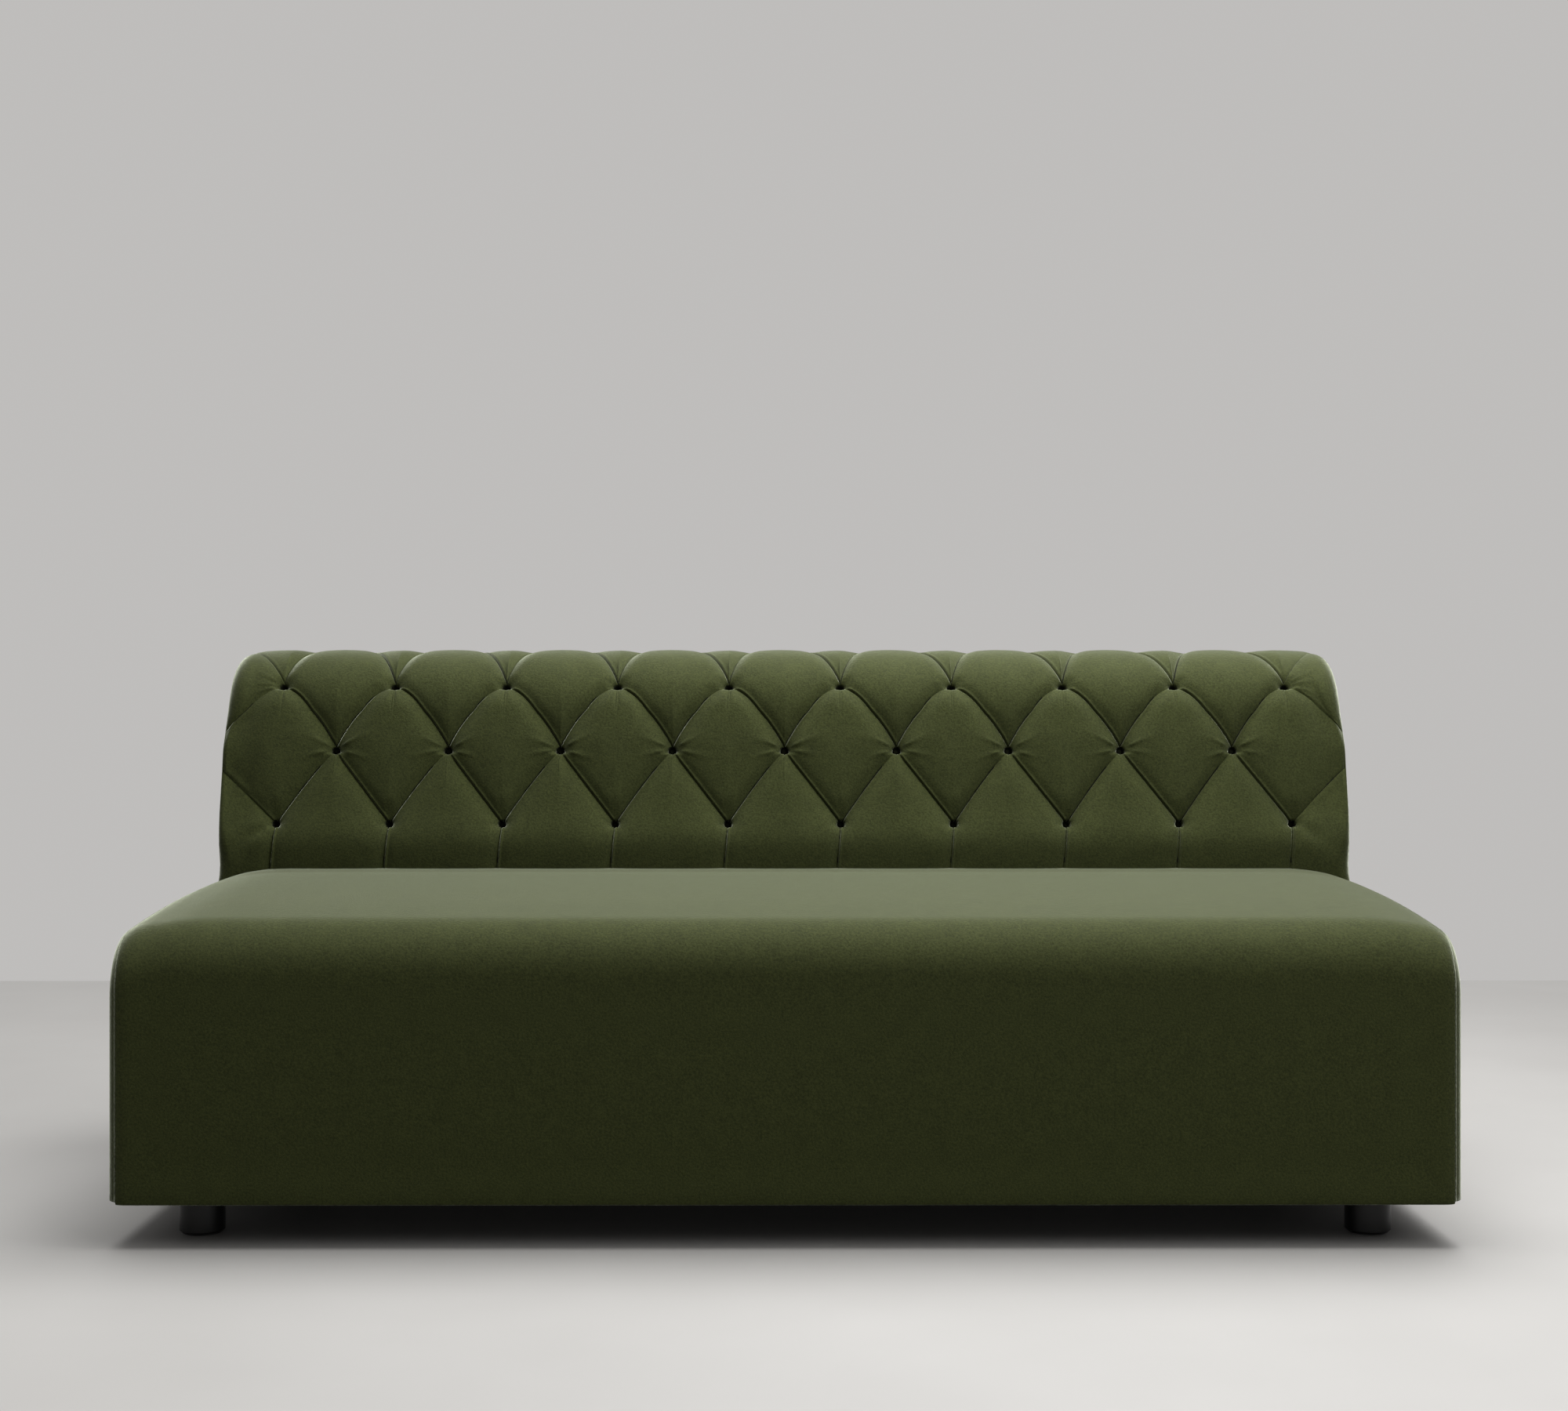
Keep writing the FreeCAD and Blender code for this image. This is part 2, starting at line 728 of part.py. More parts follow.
def build_roll_core_and_board():
    start = (f"-{INNER_X}", deep(ROLL_DEEP), ROLL_Z)
    keep(rod("roll_core", f"2 * {ROLL_CORE}", start, f"2 * {INNER_X}", "x"), "roll_core")
    board = doc.addObject("Part::Box", "board_blank")
    board.Placement = FreeCAD.Placement(
        FreeCAD.Vector(), FreeCAD.Rotation(FreeCAD.Vector(-1, 0, 0), size("back_recline"))
    )
    board.setExpression(".Placement.Rotation.Angle", "Sizes.back_recline")
    board.setExpression("Length", f"2 * {INNER_X}")
    board.setExpression("Width", "Sizes.board_thickness")
    board.setExpression("Height", BOARD_LENGTH)
    place(board, f"-{INNER_X}", *face_point("0", BOARD_FACE))
    radius = size("twine_hole") / 2
    face, thick = number(BOARD_FACE), size("board_thickness")
    holes = [
        tuft_stub(x, along, radius, face - thick, face + 2 * thick)
        for x, along, on_roll in tuft_frames()
        if not on_roll
    ]
    twine_holes = formed("twine_holes", Part.Compound(holes))
    keep(drilled("tufting_board", board, [twine_holes]), "tufting_board")


def foot_places():
    """The four feet: a name, the side, and the expressions of their X and Y."""
    for end, y in (("front", deep("Sizes.foot_inset")), ("rear", deep(REAR_FOOT_DEEP))):
        for side, word in ((-1, "left"), (1, "right")):
            yield f"{end}_{word}", side, f"({side} * {FOOT_SIDE})", y


def build_corner_blocks():
    for name, side, x, y in foot_places():
        span_x = mirrored(side, f"{FOOT_SIDE} - {FOOT_TO_RAIL}", INNER_X)
        span_y = (f"{y} - {FOOT_TO_RAIL}", f"{y} + {FOOT_TO_RAIL}")
        blank = block(f"{name}_blank", span_x, span_y, (UNDER, f"{UNDER} + Sizes.block_height"))
        barrel = "Sizes.tee_nut_barrel + 2 * Sizes.fit_clearance"
        hole = rod(f"{name}_block_hole", barrel, (x, y, UNDER), "Sizes.block_height")
        keep(drilled(f"{name}_corner_block", blank, [hole]), f"{name}_corner_block")


# Feet, with their bolts, tee nuts and glides
def build_feet():
    bolts, nuts, glides = [], [], []
    bolt = "Sizes.bolt_diameter / 2"
    bottom = "Sizes.glide_thickness"
    socket = f"{UNDER} - Sizes.bolt_in_foot"
    outer = "Sizes.foot_diameter / 2"
    bore = f"{bolt} + Sizes.fit_clearance"
    flange_z = f"{UNDER} + Sizes.block_height"
    for name, side, x, y in foot_places():
        body = doc.addObject("PartDesign::Body", f"{name}_foot")
        corners = [
            ("0", bottom),
            (f"{outer} - Sizes.foot_edge", bottom),
            (outer, f"{bottom} + Sizes.foot_edge"),
            (outer, UNDER),
            (bore, UNDER),
            (bore, socket),
            ("0", socket),
        ]
        turned = body.newObject("PartDesign::Revolution", f"{name}_turned")
        turned.Profile = outline_sketch(body, f"{name}_foot_outline", "XZ_Plane", corners)
        turned.ReferenceAxis = (turned.Profile[0], ["V_Axis"])
        turned.Angle = 360
        place(body, x, y, "0")
        keep(body, f"{name}_foot")
        length = f"Sizes.bolt_in_foot + Sizes.block_height - {GAP}"
        bolts.append(rod(f"{name}_bolt", "Sizes.bolt_diameter", (x, y, f"{socket} + {GAP}"), length))
        barrel = rod(f"{name}_barrel", "Sizes.tee_nut_barrel", (x, y, f"{UNDER} + {GAP}"),
                     f"Sizes.block_height - {GAP}")
        flange = rod(f"{name}_flange", "Sizes.tee_nut_flange", (x, y, flange_z), "Sizes.tee_nut_sheet")
        thread = rod(f"{name}_thread", f"2 * ({bore})", (x, y, UNDER),
                     "Sizes.block_height + Sizes.tee_nut_sheet")
        nuts.append(drilled(f"{name}_nut", joined(f"{name}_nut_blank", [barrel, flange]), [thread]))
        glides.append(rod(f"{name}_glide", "Sizes.glide_diameter", (x, y, "0"), bottom))
    keep(group("foot_bolts", bolts), "foot_bolts")
    keep(group("foot_tee_nuts", nuts), "foot_tee_nuts")
    keep(group("foot_glides", glides), "foot_glides")


# Seat springs
def sinuous_spring(x, wire_z):
    """One zigzag wire from the front rail to the spring rail, its end bars held by the clips."""
    near = number(f"{CORE} + {RAIL} / 2")
    far = number(f"{SEAT_BOX_DEEP} - {RAIL} / 2")
    bars = int(size("spring_bars"))
    pitch = (far - near) / (bars - 1)
    reach = size("spring_width") / 2 - pitch / 2
    front_y = number(FRONT)
    edges = []
    for bar in range(bars):
        y = front_y + near + bar * pitch
        side = 1 if bar % 2 == 0 else -1
        start = FreeCAD.Vector(x - side * reach, y, wire_z)
        stop = FreeCAD.Vector(x + side * reach, y, wire_z)
        edges.append(run(start, stop))
        if bar < bars - 1:
            bulge = FreeCAD.Vector(x + side * (reach + pitch / 2), y + pitch / 2, wire_z)
            edges.append(Part.Arc(stop, bulge, stop + FreeCAD.Vector(0, pitch, 0)).toShape())
    path = Part.Wire(edges)
    first = edges[0].valueAt(edges[0].FirstParameter)
    ring = Part.makeCircle(size("wire_diameter") / 2, first, FreeCAD.Vector(1, 0, 0))
    return path.makePipeShell([Part.Wire([ring])], True, False)


def build_springs():
    wire = size("wire_diameter")
    count = int(size("spring_count"))
    deck = size("deck_height")
    wall = size("clip_wall")
    room = size("wire_clearance")
    wire_z = deck + wall + room + wire / 2
    spacing = 2 * number(INNER_X) / count
    columns = [(index - (count - 1) / 2) * spacing for index in range(count)]
    springs = [sinuous_spring(x, wire_z) for x in columns]
    keep(formed("seat_springs", Part.Compound(springs)), "seat_springs")
    clips = []
    width, length = size("clip_width"), size("clip_length")
    height = wire + 2 * (wall + room)
    for x in columns:
        for at in (f"{CORE} + {RAIL} / 2", f"{SEAT_BOX_DEEP} - {RAIL} / 2"):
            y = number(deep(at))
            corner = FreeCAD.Vector(x - width / 2, y - length / 2, deck)
            body = Part.makeBox(width, length, height, corner)
            start = FreeCAD.Vector(x - width / 2, y, wire_z)
            bore = Part.makeCylinder(wire / 2 + room, width, start, FreeCAD.Vector(1, 0, 0))
            clips.append(body.cut(bore))
    keep(formed("spring_clips", Part.Compound(clips)), "spring_clips")
    tie = "Sizes.tie_wire_diameter"
    spring_low = f"{DECK} + Sizes.clip_wall + Sizes.wire_clearance"
    tie_z = f"{spring_low} - {tie} / 2 - Sizes.wire_clearance"
    middle = f"({CORE} + {SEAT_BOX_DEEP}) / 2"
    ties = []
    for sign, word in ((-1, "front"), (1, "rear")):
        tie_y = deep(f"{middle} + {sign} * Sizes.tie_wire_spacing / 2")
        ties.append(rod(f"tie_wire_{word}", tie, (f"-{INNER_X}", tie_y, tie_z), f"2 * {INNER_X}", "x"))
    keep(group("spring_tie_wires", ties), "spring_tie_wires")
    pad_low = f"({spring_low} + Sizes.wire_diameter + {GAP})"
    near = f"{CORE} + {RAIL} + {GAP}"
    far = f"Sizes.seat_depth - {GAP} - {CORE}"
    pad_span = (f"-{INNER_X}", INNER_X)
    pad_z = (pad_low, f"{pad_low} + Sizes.spring_pad_thickness")
    keep(block("spring_pad", pad_span, (deep(near), deep(far)), pad_z), "spring_pad")


def seat_foam_low():
    """The underside of the seat foam, clear of the spring pad and the clips."""
    stack = f"2 * Sizes.clip_wall + 2 * Sizes.wire_clearance + Sizes.wire_diameter + 2 * {GAP}"
    return number(f"{DECK} + {stack} + Sizes.spring_pad_thickness")


# Padding and covers of the seat
def build_seat_soft():
    gap, skin, batting = size("layer_clearance"), size("cover_thickness"), size("batting_thickness")
    core, half, under = number(CORE), number(HALF), number(UNDER)
    low = seat_foam_low()
    keep(formed("seat_foam", seat_block(half - core, core, low)), "seat_foam")
    batting_end = half - skin - gap
    wrap = seat_shell(batting_end, skin + gap, skin + gap + batting, under + gap, low)
    keep(formed("seat_batting", wrap), "seat_batting")
    cover = seat_shell(half - skin, 0.0, skin, size("foot_height"), low, size("cover_turn_under"))
    keep(formed("seat_cover", cover), "seat_cover")
    for side, word in ((-1, "left"), (1, "right")):
        padding = seat_side(side, half - core + gap, batting_end, core, under + gap)
        keep(formed(f"{word}_seat_padding", padding), f"{word}_seat_padding")
        panel_shape = seat_side(side, half - skin, half, 0.0, size("foot_height"))
        keep(formed(f"{word}_seat_side_cover", panel_shape), f"{word}_seat_side_cover")


# Padding and covers of the back
def build_back_soft():
    gap, skin = size("layer_clearance"), size("cover_thickness")
    half, foam_face = number(HALF), number(FOAM_FACE)
    foam_end = number(INNER_X)
    outer, inner = plain_edges(-foam_end, foam_face), plain_edges(-foam_end, number(BOARD_FACE) - gap)
    out_start, out_end = ends(outer)
    in_start, in_end = ends(inner)
    outline = Part.Wire(outer + [run(out_end, in_end)] + inner[::-1] + [run(in_start, out_start)])
    slab = Part.Face(outline).extrude(FreeCAD.Vector(2 * foam_end, 0, 0))
    keep(formed("back_foam", slab), "back_foam")
    batting_end = half - skin - gap
    batting = tufted_layer(batting_end, skin + gap, lambda x: plain_edges(x, foam_face - gap))
    keep(formed("back_batting", batting), "back_batting")
    cover = tufted_layer(half - skin, 0.0, lambda x: puff_edges(x, skin))
    keep(formed("tufted_back_cover", cover), "tufted_back_cover")
    for side, word in ((-1, "left"), (1, "right")):
        span = mirrored(side, f"{FRAME_X} + {GAP}", f"{HALF} - {SKIN} - {GAP}")
        keep(end_profile(f"{word}_back_padding", span), f"{word}_back_padding")
        keep(formed(f"{word}_back_facing", end_facing(side)), f"{word}_back_facing")
    outside_top = under_roll(OUTSIDE_DEEP)
    board_y = (deep(FRAME_REAR_DEEP), deep(f"{OUTSIDE_DEEP} - {SKIN}"))
    board_x = (f"-{FRAME_X}", FRAME_X)
    keep(block("outside_back_board", board_x, board_y, (UNDER, outside_top)), "outside_back_board")
    cover_y = (deep(f"{OUTSIDE_DEEP} - {SKIN}"), deep(OUTSIDE_DEEP))
    cover_z = ("Sizes.foot_height", outside_top)
    keep(block("outside_back_cover", (f"-{HALF}", HALF), cover_y, cover_z), "outside_back_cover")


def end_facing(side):
    """The flat cover over one end of the back, following the puffs where they round over the end."""
    x = number(HALF) - size("cover_thickness")
    edges = puff_edges(x, 0.0)
    foot, last = ends(edges)
    seat_y = number(deep("Sizes.seat_depth"))
    rear_y = number(deep(f"{OUTSIDE_DEEP} - {SKIN}"))
    low = size("foot_height")
    corners = [
        last,
        FreeCAD.Vector(x, rear_y, number(under_roll(OUTSIDE_DEEP))),
        FreeCAD.Vector(x, rear_y, low),
        FreeCAD.Vector(x, seat_y, low),
        FreeCAD.Vector(x, seat_y, foot.z),
        foot,
    ]
    closing = [run(first, second) for first, second in zip(corners, corners[1:])]
    face = Part.Face(Part.Wire(edges + closing))
    if side < 0:
        face.translate(FreeCAD.Vector(-2 * x - size("cover_thickness"), 0, 0))
    return face.extrude(FreeCAD.Vector(size("cover_thickness"), 0, 0))


def build_tufts():
    button, height, sunk = size("button_diameter") / 2, size("button_height"), size("button_depth")
    twine = size("twine_diameter") / 2
    face, thick = number(BOARD_FACE), size("board_thickness")
    buttons, twines = [], []
    for x, along, on_roll in tuft_frames():
        buttons.append(tuft_stub(x, along, button, sunk - height, sunk))
        stop = face + size("twine_bite") if on_roll else face + thick
        twines.append(tuft_stub(x, along, twine, sunk, stop))
    keep(formed("tuft_buttons", Part.Compound(buttons)), "tuft_buttons")
    keep(formed("tuft_twines", Part.Compound(twines)), "tuft_twines")
    keep(formed("tuft_anchors", Part.Compound(anchor_discs(0))), "tuft_anchors")


# The frame screws of each standing corner, in steps down from the deck
SCREW_STEPS = (1, 2, 3)


# Fasteners of the frames
def build_fasteners():
    screws = []
    heights = [f"{DECK} - {step} * Sizes.screw_step + {RAIL} / 2" for step in SCREW_STEPS]
    rear_height = f"{UNDER} + Sizes.rear_rail_height / 2"
    rows = [
        (f"{CORE} + {RAIL} / 2", heights),
        (f"{SEAT_BOX_DEEP} - {RAIL} / 2", heights),
        (f"{SEAT_BOX_DEEP} + {RAIL} / 2", heights),
        (f"{FRAME_REAR_DEEP} - {RAIL} / 2", [rear_height]),
    ]
    shank, head, length = size("screw_diameter") / 2, size("screw_head") / 2, size("screw_length")
    outside = number(FRAME_X)
    for at, levels in rows:
        for level in levels:
            for side in (-1, 1):
                start = FreeCAD.Vector(side * outside, number(deep(at)), number(level))
                inward = FreeCAD.Vector(-side, 0, 0)
                cone = Part.makeCone(head, shank, head - shank, start, inward)
                screws.append(cone.fuse(Part.makeCylinder(shank, length, start, inward)))
    keep(formed("frame_screws", Part.Compound(screws)), "frame_screws")
    bolts, washers, nuts = [], [], []
    sheet_metal, flats = size("washer_thickness"), size("nut_flats")
    washer, nut_height = size("washer_diameter") / 2, size("nut_height")
    shaft, bore = size("bolt_diameter") / 2, size("bolt_diameter") / 2 + size("fit_clearance")
    near = number(deep(f"{SEAT_BOX_DEEP} - {RAIL}"))
    far = number(deep(f"{SEAT_BOX_DEEP} + {RAIL}"))
    back = FreeCAD.Vector(0, 1, 0)

    def hexagon(x, y, z):
        corner = flats / math.sqrt(3)
        turns = [math.pi * step / 3 for step in range(7)]
        points = [FreeCAD.Vector(x + corner * math.cos(a), y, z + corner * math.sin(a)) for a in turns]
        return Part.Face(Part.makePolygon(points)).extrude(back * nut_height)

    for share in BOLT_SPREAD:
        x, z = share * size("back_bolt_spacing"), size("back_bolt_height")

        def ring(y):
            spot = FreeCAD.Vector(x, y, z)
            return Part.makeCylinder(washer, sheet_metal, spot, back).cut(
                Part.makeCylinder(bore, sheet_metal, spot, back)
            )

        washers += [ring(near - sheet_metal), ring(far)]
        head_y = near - sheet_metal - nut_height
        nut_y = far + sheet_metal
        stem_start = FreeCAD.Vector(x, head_y, z)
        stem = Part.makeCylinder(shaft, nut_y + 2 * nut_height - head_y, stem_start, back)
        bolts.append(hexagon(x, head_y, z).fuse(stem))
        hole = Part.makeCylinder(bore, nut_height, FreeCAD.Vector(x, nut_y, z), back)
        nuts.append(hexagon(x, nut_y, z).cut(hole))
    keep(formed("back_bolts", Part.Compound(bolts)), "back_bolts")
    keep(formed("back_washers", Part.Compound(washers)), "back_washers")
    keep(formed("back_nuts", Part.Compound(nuts)), "back_nuts")


# Dust cover under both frames
def build_dust_cover():
    margin = "Sizes.dust_cover_margin"
    span_x = (f"-({HALF} - {margin})", f"{HALF} - {margin}")
    span_y = (deep(margin), deep(f"{OUTSIDE_DEEP} - {margin}"))
    sheet_cloth = block("dust_cover_cloth", span_x, span_y, (DUST_LOW, "Sizes.foot_height"))
    opening = f"Sizes.foot_diameter + 2 * {GAP}"
    holes = [
        rod(f"{name}_dust_hole", opening, (x, y, DUST_LOW), "Sizes.dust_cover_thickness")
        for name, side, x, y in foot_places()
    ]
    keep(drilled("dust_cover", sheet_cloth, holes), "dust_cover")


# Connectors to the modules on either side
def build_connectors():
    pivots, screws, plates = [], [], []
    plate_z = (PLATE_LOW, DUST_LOW)
    stud_hole = "Sizes.stud_diameter + 2 * Sizes.stud_clearance"
    pivot_hole = "Sizes.pivot_diameter + 2 * Sizes.pivot_clearance"
    screw_hole = "Sizes.plate_screw_diameter + 2 * Sizes.fit_clearance"
    for word, at, turn in (
        ("front", "Sizes.front_connector_place", 1),
        ("rear", f"({OUTSIDE_DEEP} - Sizes.rear_connector_place)", -1),
    ):
        y = deep(at)
        span_y = (f"{y} - Sizes.plate_length / 2", f"{y} + Sizes.plate_length / 2")
        for side in (-1, 1):
            x = f"({side} * {CONNECTOR_X})"
            hand = "left" if side < 0 else "right"
            span_x = (f"{x} - Sizes.plate_width / 2", f"{x} + Sizes.plate_width / 2")
            plate = block(f"{word}_{hand}_plate_blank", span_x, span_y, plate_z)
            holes = []
            for sign in (-1, 1):
                spot_y = f"{y} + {sign} * Sizes.plate_screw_spacing / 2"
                name = f"{word}_{hand}_{'near' if sign < 0 else 'far'}"
                hole = rod(f"{name}_hole", screw_hole, (x, spot_y, PLATE_LOW), "Sizes.plate_thickness")
                holes.append(hole)
                screws.append(
                    rod(f"{name}_screw", "Sizes.plate_screw_diameter", (x, spot_y, PLATE_LOW),
                        "Sizes.plate_screw_length")
                )
            if side < 0:
                low = f"{PLATE_LOW} - Sizes.stud_length"
                stud = rod(f"{word}_stud_pin", "Sizes.stud_diameter", (x, y, low),
                           "Sizes.stud_length + Sizes.plate_thickness")
                base = drilled(f"{word}_stud_plate", plate, holes)
                keep(joined(f"{word}_connector_stud", [base, stud]), f"{word}_connector_stud")
                continue
            bolt = "Sizes.bolt_diameter"
            holes.append(rod(f"{word}_pivot_hole", f"{bolt} + 2 * Sizes.fit_clearance", (x, y, PLATE_LOW),
                             "Sizes.plate_thickness"))
            plates.append(drilled(f"{word}_pivot_plate", plate, holes))
            head_high = f"({LINK_LOW} - Sizes.link_play)"
            head_low = f"{head_high} - Sizes.pivot_head_height"
            head = rod(f"{word}_pivot_head", "Sizes.pivot_head", (x, y, head_low), "Sizes.pivot_head_height")
            shoulder = rod(f"{word}_pivot_shoulder", "Sizes.pivot_diameter", (x, y, head_high),
                           f"{PLATE_LOW} - {head_high}")
            thread = rod(f"{word}_pivot_thread", bolt, (x, y, PLATE_LOW),
                         "Sizes.plate_thickness + Sizes.pivot_thread")
            pivots.append(joined(f"{word}_pivot_bolt", [head, shoulder, thread]))
            far_y = f"({y} + {turn} * {LINK_REACH})"
            low_y, high_y = (y, far_y) if turn > 0 else (far_y, y)
            link_span = (f"{x} - Sizes.link_width / 2", f"{x} + Sizes.link_width / 2")
            bar = block(f"{word}_link_bar", link_span, (low_y, high_y), (LINK_LOW, LINK_HIGH))
            rounds = [
                rod(f"{word}_link_{name}", "Sizes.link_width", (x, spot, LINK_LOW), "Sizes.link_thickness")
                for name, spot in (("pivot_end", y), ("stud_end", far_y))
            ]
            openings = [
                rod(f"{word}_link_pivot", pivot_hole, (x, y, LINK_LOW), "Sizes.link_thickness"),
                rod(f"{word}_link_eye", stud_hole, (x, far_y, LINK_LOW), "Sizes.link_thickness"),
            ]
            outline = joined(f"{word}_link_outline", [bar] + rounds)
            keep(drilled(f"{word}_connector_link", outline, openings), f"{word}_connector_link")
    keep(group("connector_pivot_plates", plates), "connector_pivot_plates")
    keep(group("connector_pivot_bolts", pivots), "connector_pivot_bolts")
    keep(group("connector_screws", screws), "connector_screws")


def check_document():
    """Every object computed, and every piece a valid shape."""
    for item in doc.Objects:
        if "Invalid" in item.State or "Error" in item.State:
            raise RuntimeError(f"{item.Label} failed: {item.State}")
    for piece in pieces:
        if piece.Shape.isNull() or not piece.Shape.isValid():
            raise RuntimeError(f"{piece.Label} has no valid shape")


build_frames()
build_feet()
build_springs()
build_seat_soft()
build_back_soft()
build_tufts()
build_fasteners()
build_dust_cover()
build_connectors()
doc.recompute()
check_document()
os.makedirs("parts", exist_ok=True)
for piece in pieces:
    piece.Shape.exportStep(f"parts/{piece.Label}.step")
    print(piece.Label, len(piece.Shape.Solids), round(piece.Shape.Volume))
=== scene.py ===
# %% [markdown]
# # Dressing an armless tufted sofa module
# The solids of the sofa are already made: a timber frame, springs, padding and flat covers, all in one
# frame of metres with the front facing -Y. This lesson loads them and gives the sofa its looks. Soft
# covers are modelled again as cloth over padding, and everything else gets a finish made of nodes.

# %% Load the solid parts
import json
import math

import bmesh
import bpy
import numpy as np
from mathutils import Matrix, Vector
from mathutils.bvhtree import BVHTree


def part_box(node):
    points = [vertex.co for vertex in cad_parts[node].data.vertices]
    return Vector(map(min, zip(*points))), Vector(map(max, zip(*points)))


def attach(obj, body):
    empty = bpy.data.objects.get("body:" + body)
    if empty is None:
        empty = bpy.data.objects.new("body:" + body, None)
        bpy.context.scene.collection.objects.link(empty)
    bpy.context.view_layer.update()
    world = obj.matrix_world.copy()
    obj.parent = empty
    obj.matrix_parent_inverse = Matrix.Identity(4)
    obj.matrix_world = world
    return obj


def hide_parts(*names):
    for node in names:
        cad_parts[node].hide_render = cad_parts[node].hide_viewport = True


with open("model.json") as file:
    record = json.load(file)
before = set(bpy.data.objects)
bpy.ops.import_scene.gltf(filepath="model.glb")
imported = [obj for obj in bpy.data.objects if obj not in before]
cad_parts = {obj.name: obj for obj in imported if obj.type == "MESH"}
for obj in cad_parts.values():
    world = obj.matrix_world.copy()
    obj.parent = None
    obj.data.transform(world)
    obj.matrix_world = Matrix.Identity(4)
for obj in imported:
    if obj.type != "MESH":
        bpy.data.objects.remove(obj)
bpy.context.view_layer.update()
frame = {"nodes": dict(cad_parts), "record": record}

nodes = frame["nodes"]
scene = bpy.context.scene

# %% [markdown]
# ## Camera
# The picture was taken with a level camera, a little lower than the top of the back and straight in front
# of the sofa. Any lens could fill the frame with the sofa from some distance, but only one distance shows as
# much of the seat's top, so a 50 mm lens stands 2.8 m in front of the seat.

# %% Camera
FRONT_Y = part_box("seat_cover")[0].y
EYE_HEIGHT, EYE_DISTANCE = 0.70, 2.798
EYE_ASIDE, EYE_TURN = -0.009, -0.14
camera_data = bpy.data.cameras.new("camera")
camera_data.lens = 50
camera_data.sensor_width = 36
camera = bpy.data.objects.new("camera", camera_data)
camera.location = (EYE_ASIDE, FRONT_Y - EYE_DISTANCE, EYE_HEIGHT)
camera.rotation_euler = (math.radians(90), 0, math.radians(EYE_TURN))
scene.collection.objects.link(camera)
scene.camera = camera
scene.view_settings.view_transform = "Standard"
print("camera stands", round(EYE_DISTANCE, 3), "m in front of the seat")

# %% [markdown]
# ## Finishes from nodes
# Every finish here is made of the same few nodes: a noise read at object coordinates, a ramp that turns it
# into colour and a bump that turns it into relief. Each tree could be written out by hand, but helpers that
# add one node and hand back its socket keep the finishes short.


# %% Small helpers for node materials
def new_material(name):
    """An empty node material with its shader and output."""
    material = bpy.data.materials.new(name)
    material.use_nodes = True
    tree = material.node_tree
    tree.nodes.clear()
    output = tree.nodes.new("ShaderNodeOutputMaterial")
    shader = tree.nodes.new("ShaderNodeBsdfPrincipled")
    tree.links.new(shader.outputs["BSDF"], output.inputs["Surface"])
    return material, tree, shader


def add_node(tree, kind, **settings):
    """A node with its socket values or attributes set by name."""
    node = tree.nodes.new(kind)
    for key, value in settings.items():
        if key in node.inputs:
            node.inputs[key].default_value = value
        else:
            setattr(node, key, value)
    return node


def noise(tree, place, scale, detail=3.0, roughness=0.55):
    """A noise pattern read at a place, as a socket that runs from 0 to 1."""
    node = add_node(tree, "ShaderNodeTexNoise", Scale=scale, Detail=detail, Roughness=roughness)
    tree.links.new(place, node.inputs["Vector"])
    return node.outputs["Fac"]


def object_place(tree, stretch=(1, 1, 1)):
    """Object coordinates, stretched along the axes where a grain has a direction."""
    place = add_node(tree, "ShaderNodeTexCoord")
    mapping = add_node(tree, "ShaderNodeMapping", Scale=stretch)
    tree.links.new(place.outputs["Object"], mapping.inputs["Vector"])
    return mapping.outputs["Vector"]


def ramp(tree, factor, stops):
    """Colours or greys spread over a pattern."""
    node = add_node(tree, "ShaderNodeValToRGB")
    points = node.color_ramp.elements
    while len(points) < len(stops):
        points.new(0.5)
    for point, (at, colour) in zip(points, stops):
        point.position = at
        point.color = (*colour, 1) if len(colour) == 3 else (colour[0],) * 3 + (1,)
    tree.links.new(factor, node.inputs["Fac"])
    return node.outputs["Color"]


def total(tree, first, second, share):
    """The first pattern plus a share of the second."""
    node = add_node(tree, "ShaderNodeMath", operation="MULTIPLY_ADD")
    tree.links.new(second, node.inputs[0])
    node.inputs[1].default_value = share
    tree.links.new(first, node.inputs[2])
    return node.outputs[0]


def bumped(tree, shader, height, strength, distance):
    """Fine relief from a pattern."""
    node = add_node(tree, "ShaderNodeBump", Strength=strength, Distance=distance)
    tree.links.new(height, node.inputs["Height"])
    tree.links.new(node.outputs["Normal"], shader.inputs["Normal"])


# %% [markdown]
# ## Floor, backdrop and light
# The room becomes a plain pale floor in front of a pale backdrop. The backdrop is the colour of the world
# as the camera and reflections see it, while a weaker world lights the scene. The tops of the sofa are much
# brighter than its face, so most of the light comes from above: an even light as from a ceiling and a soft
# lamp overhead, with a fill from the front right.

# %% Floor and backdrop
FLOOR_END, FLOOR_HALF = 2.32, 7
FLOOR_TONES = [(0.3, (0.200, 0.195, 0.188)), (0.7, (0.212, 0.207, 0.200))]
floor_bm = bmesh.new()
bmesh.ops.create_grid(floor_bm, x_segments=2, y_segments=2, size=FLOOR_HALF)
bmesh.ops.translate(floor_bm, verts=floor_bm.verts, vec=(0, FLOOR_END - FLOOR_HALF, 0))
floor_mesh = bpy.data.meshes.new("floor")
floor_bm.to_mesh(floor_mesh)
floor_bm.free()
floor = bpy.data.objects.new("floor", floor_mesh)
scene.collection.objects.link(floor)
floor_finish, tree, shader = new_material("pale_floor")
place = object_place(tree)
tone = ramp(tree, noise(tree, place, 2.5), FLOOR_TONES)
tree.links.new(tone, shader.inputs["Base Color"])
shader.inputs["Roughness"].default_value = 0.6
floor.data.materials.append(floor_finish)
print("floor runs back to", FLOOR_END, "m")

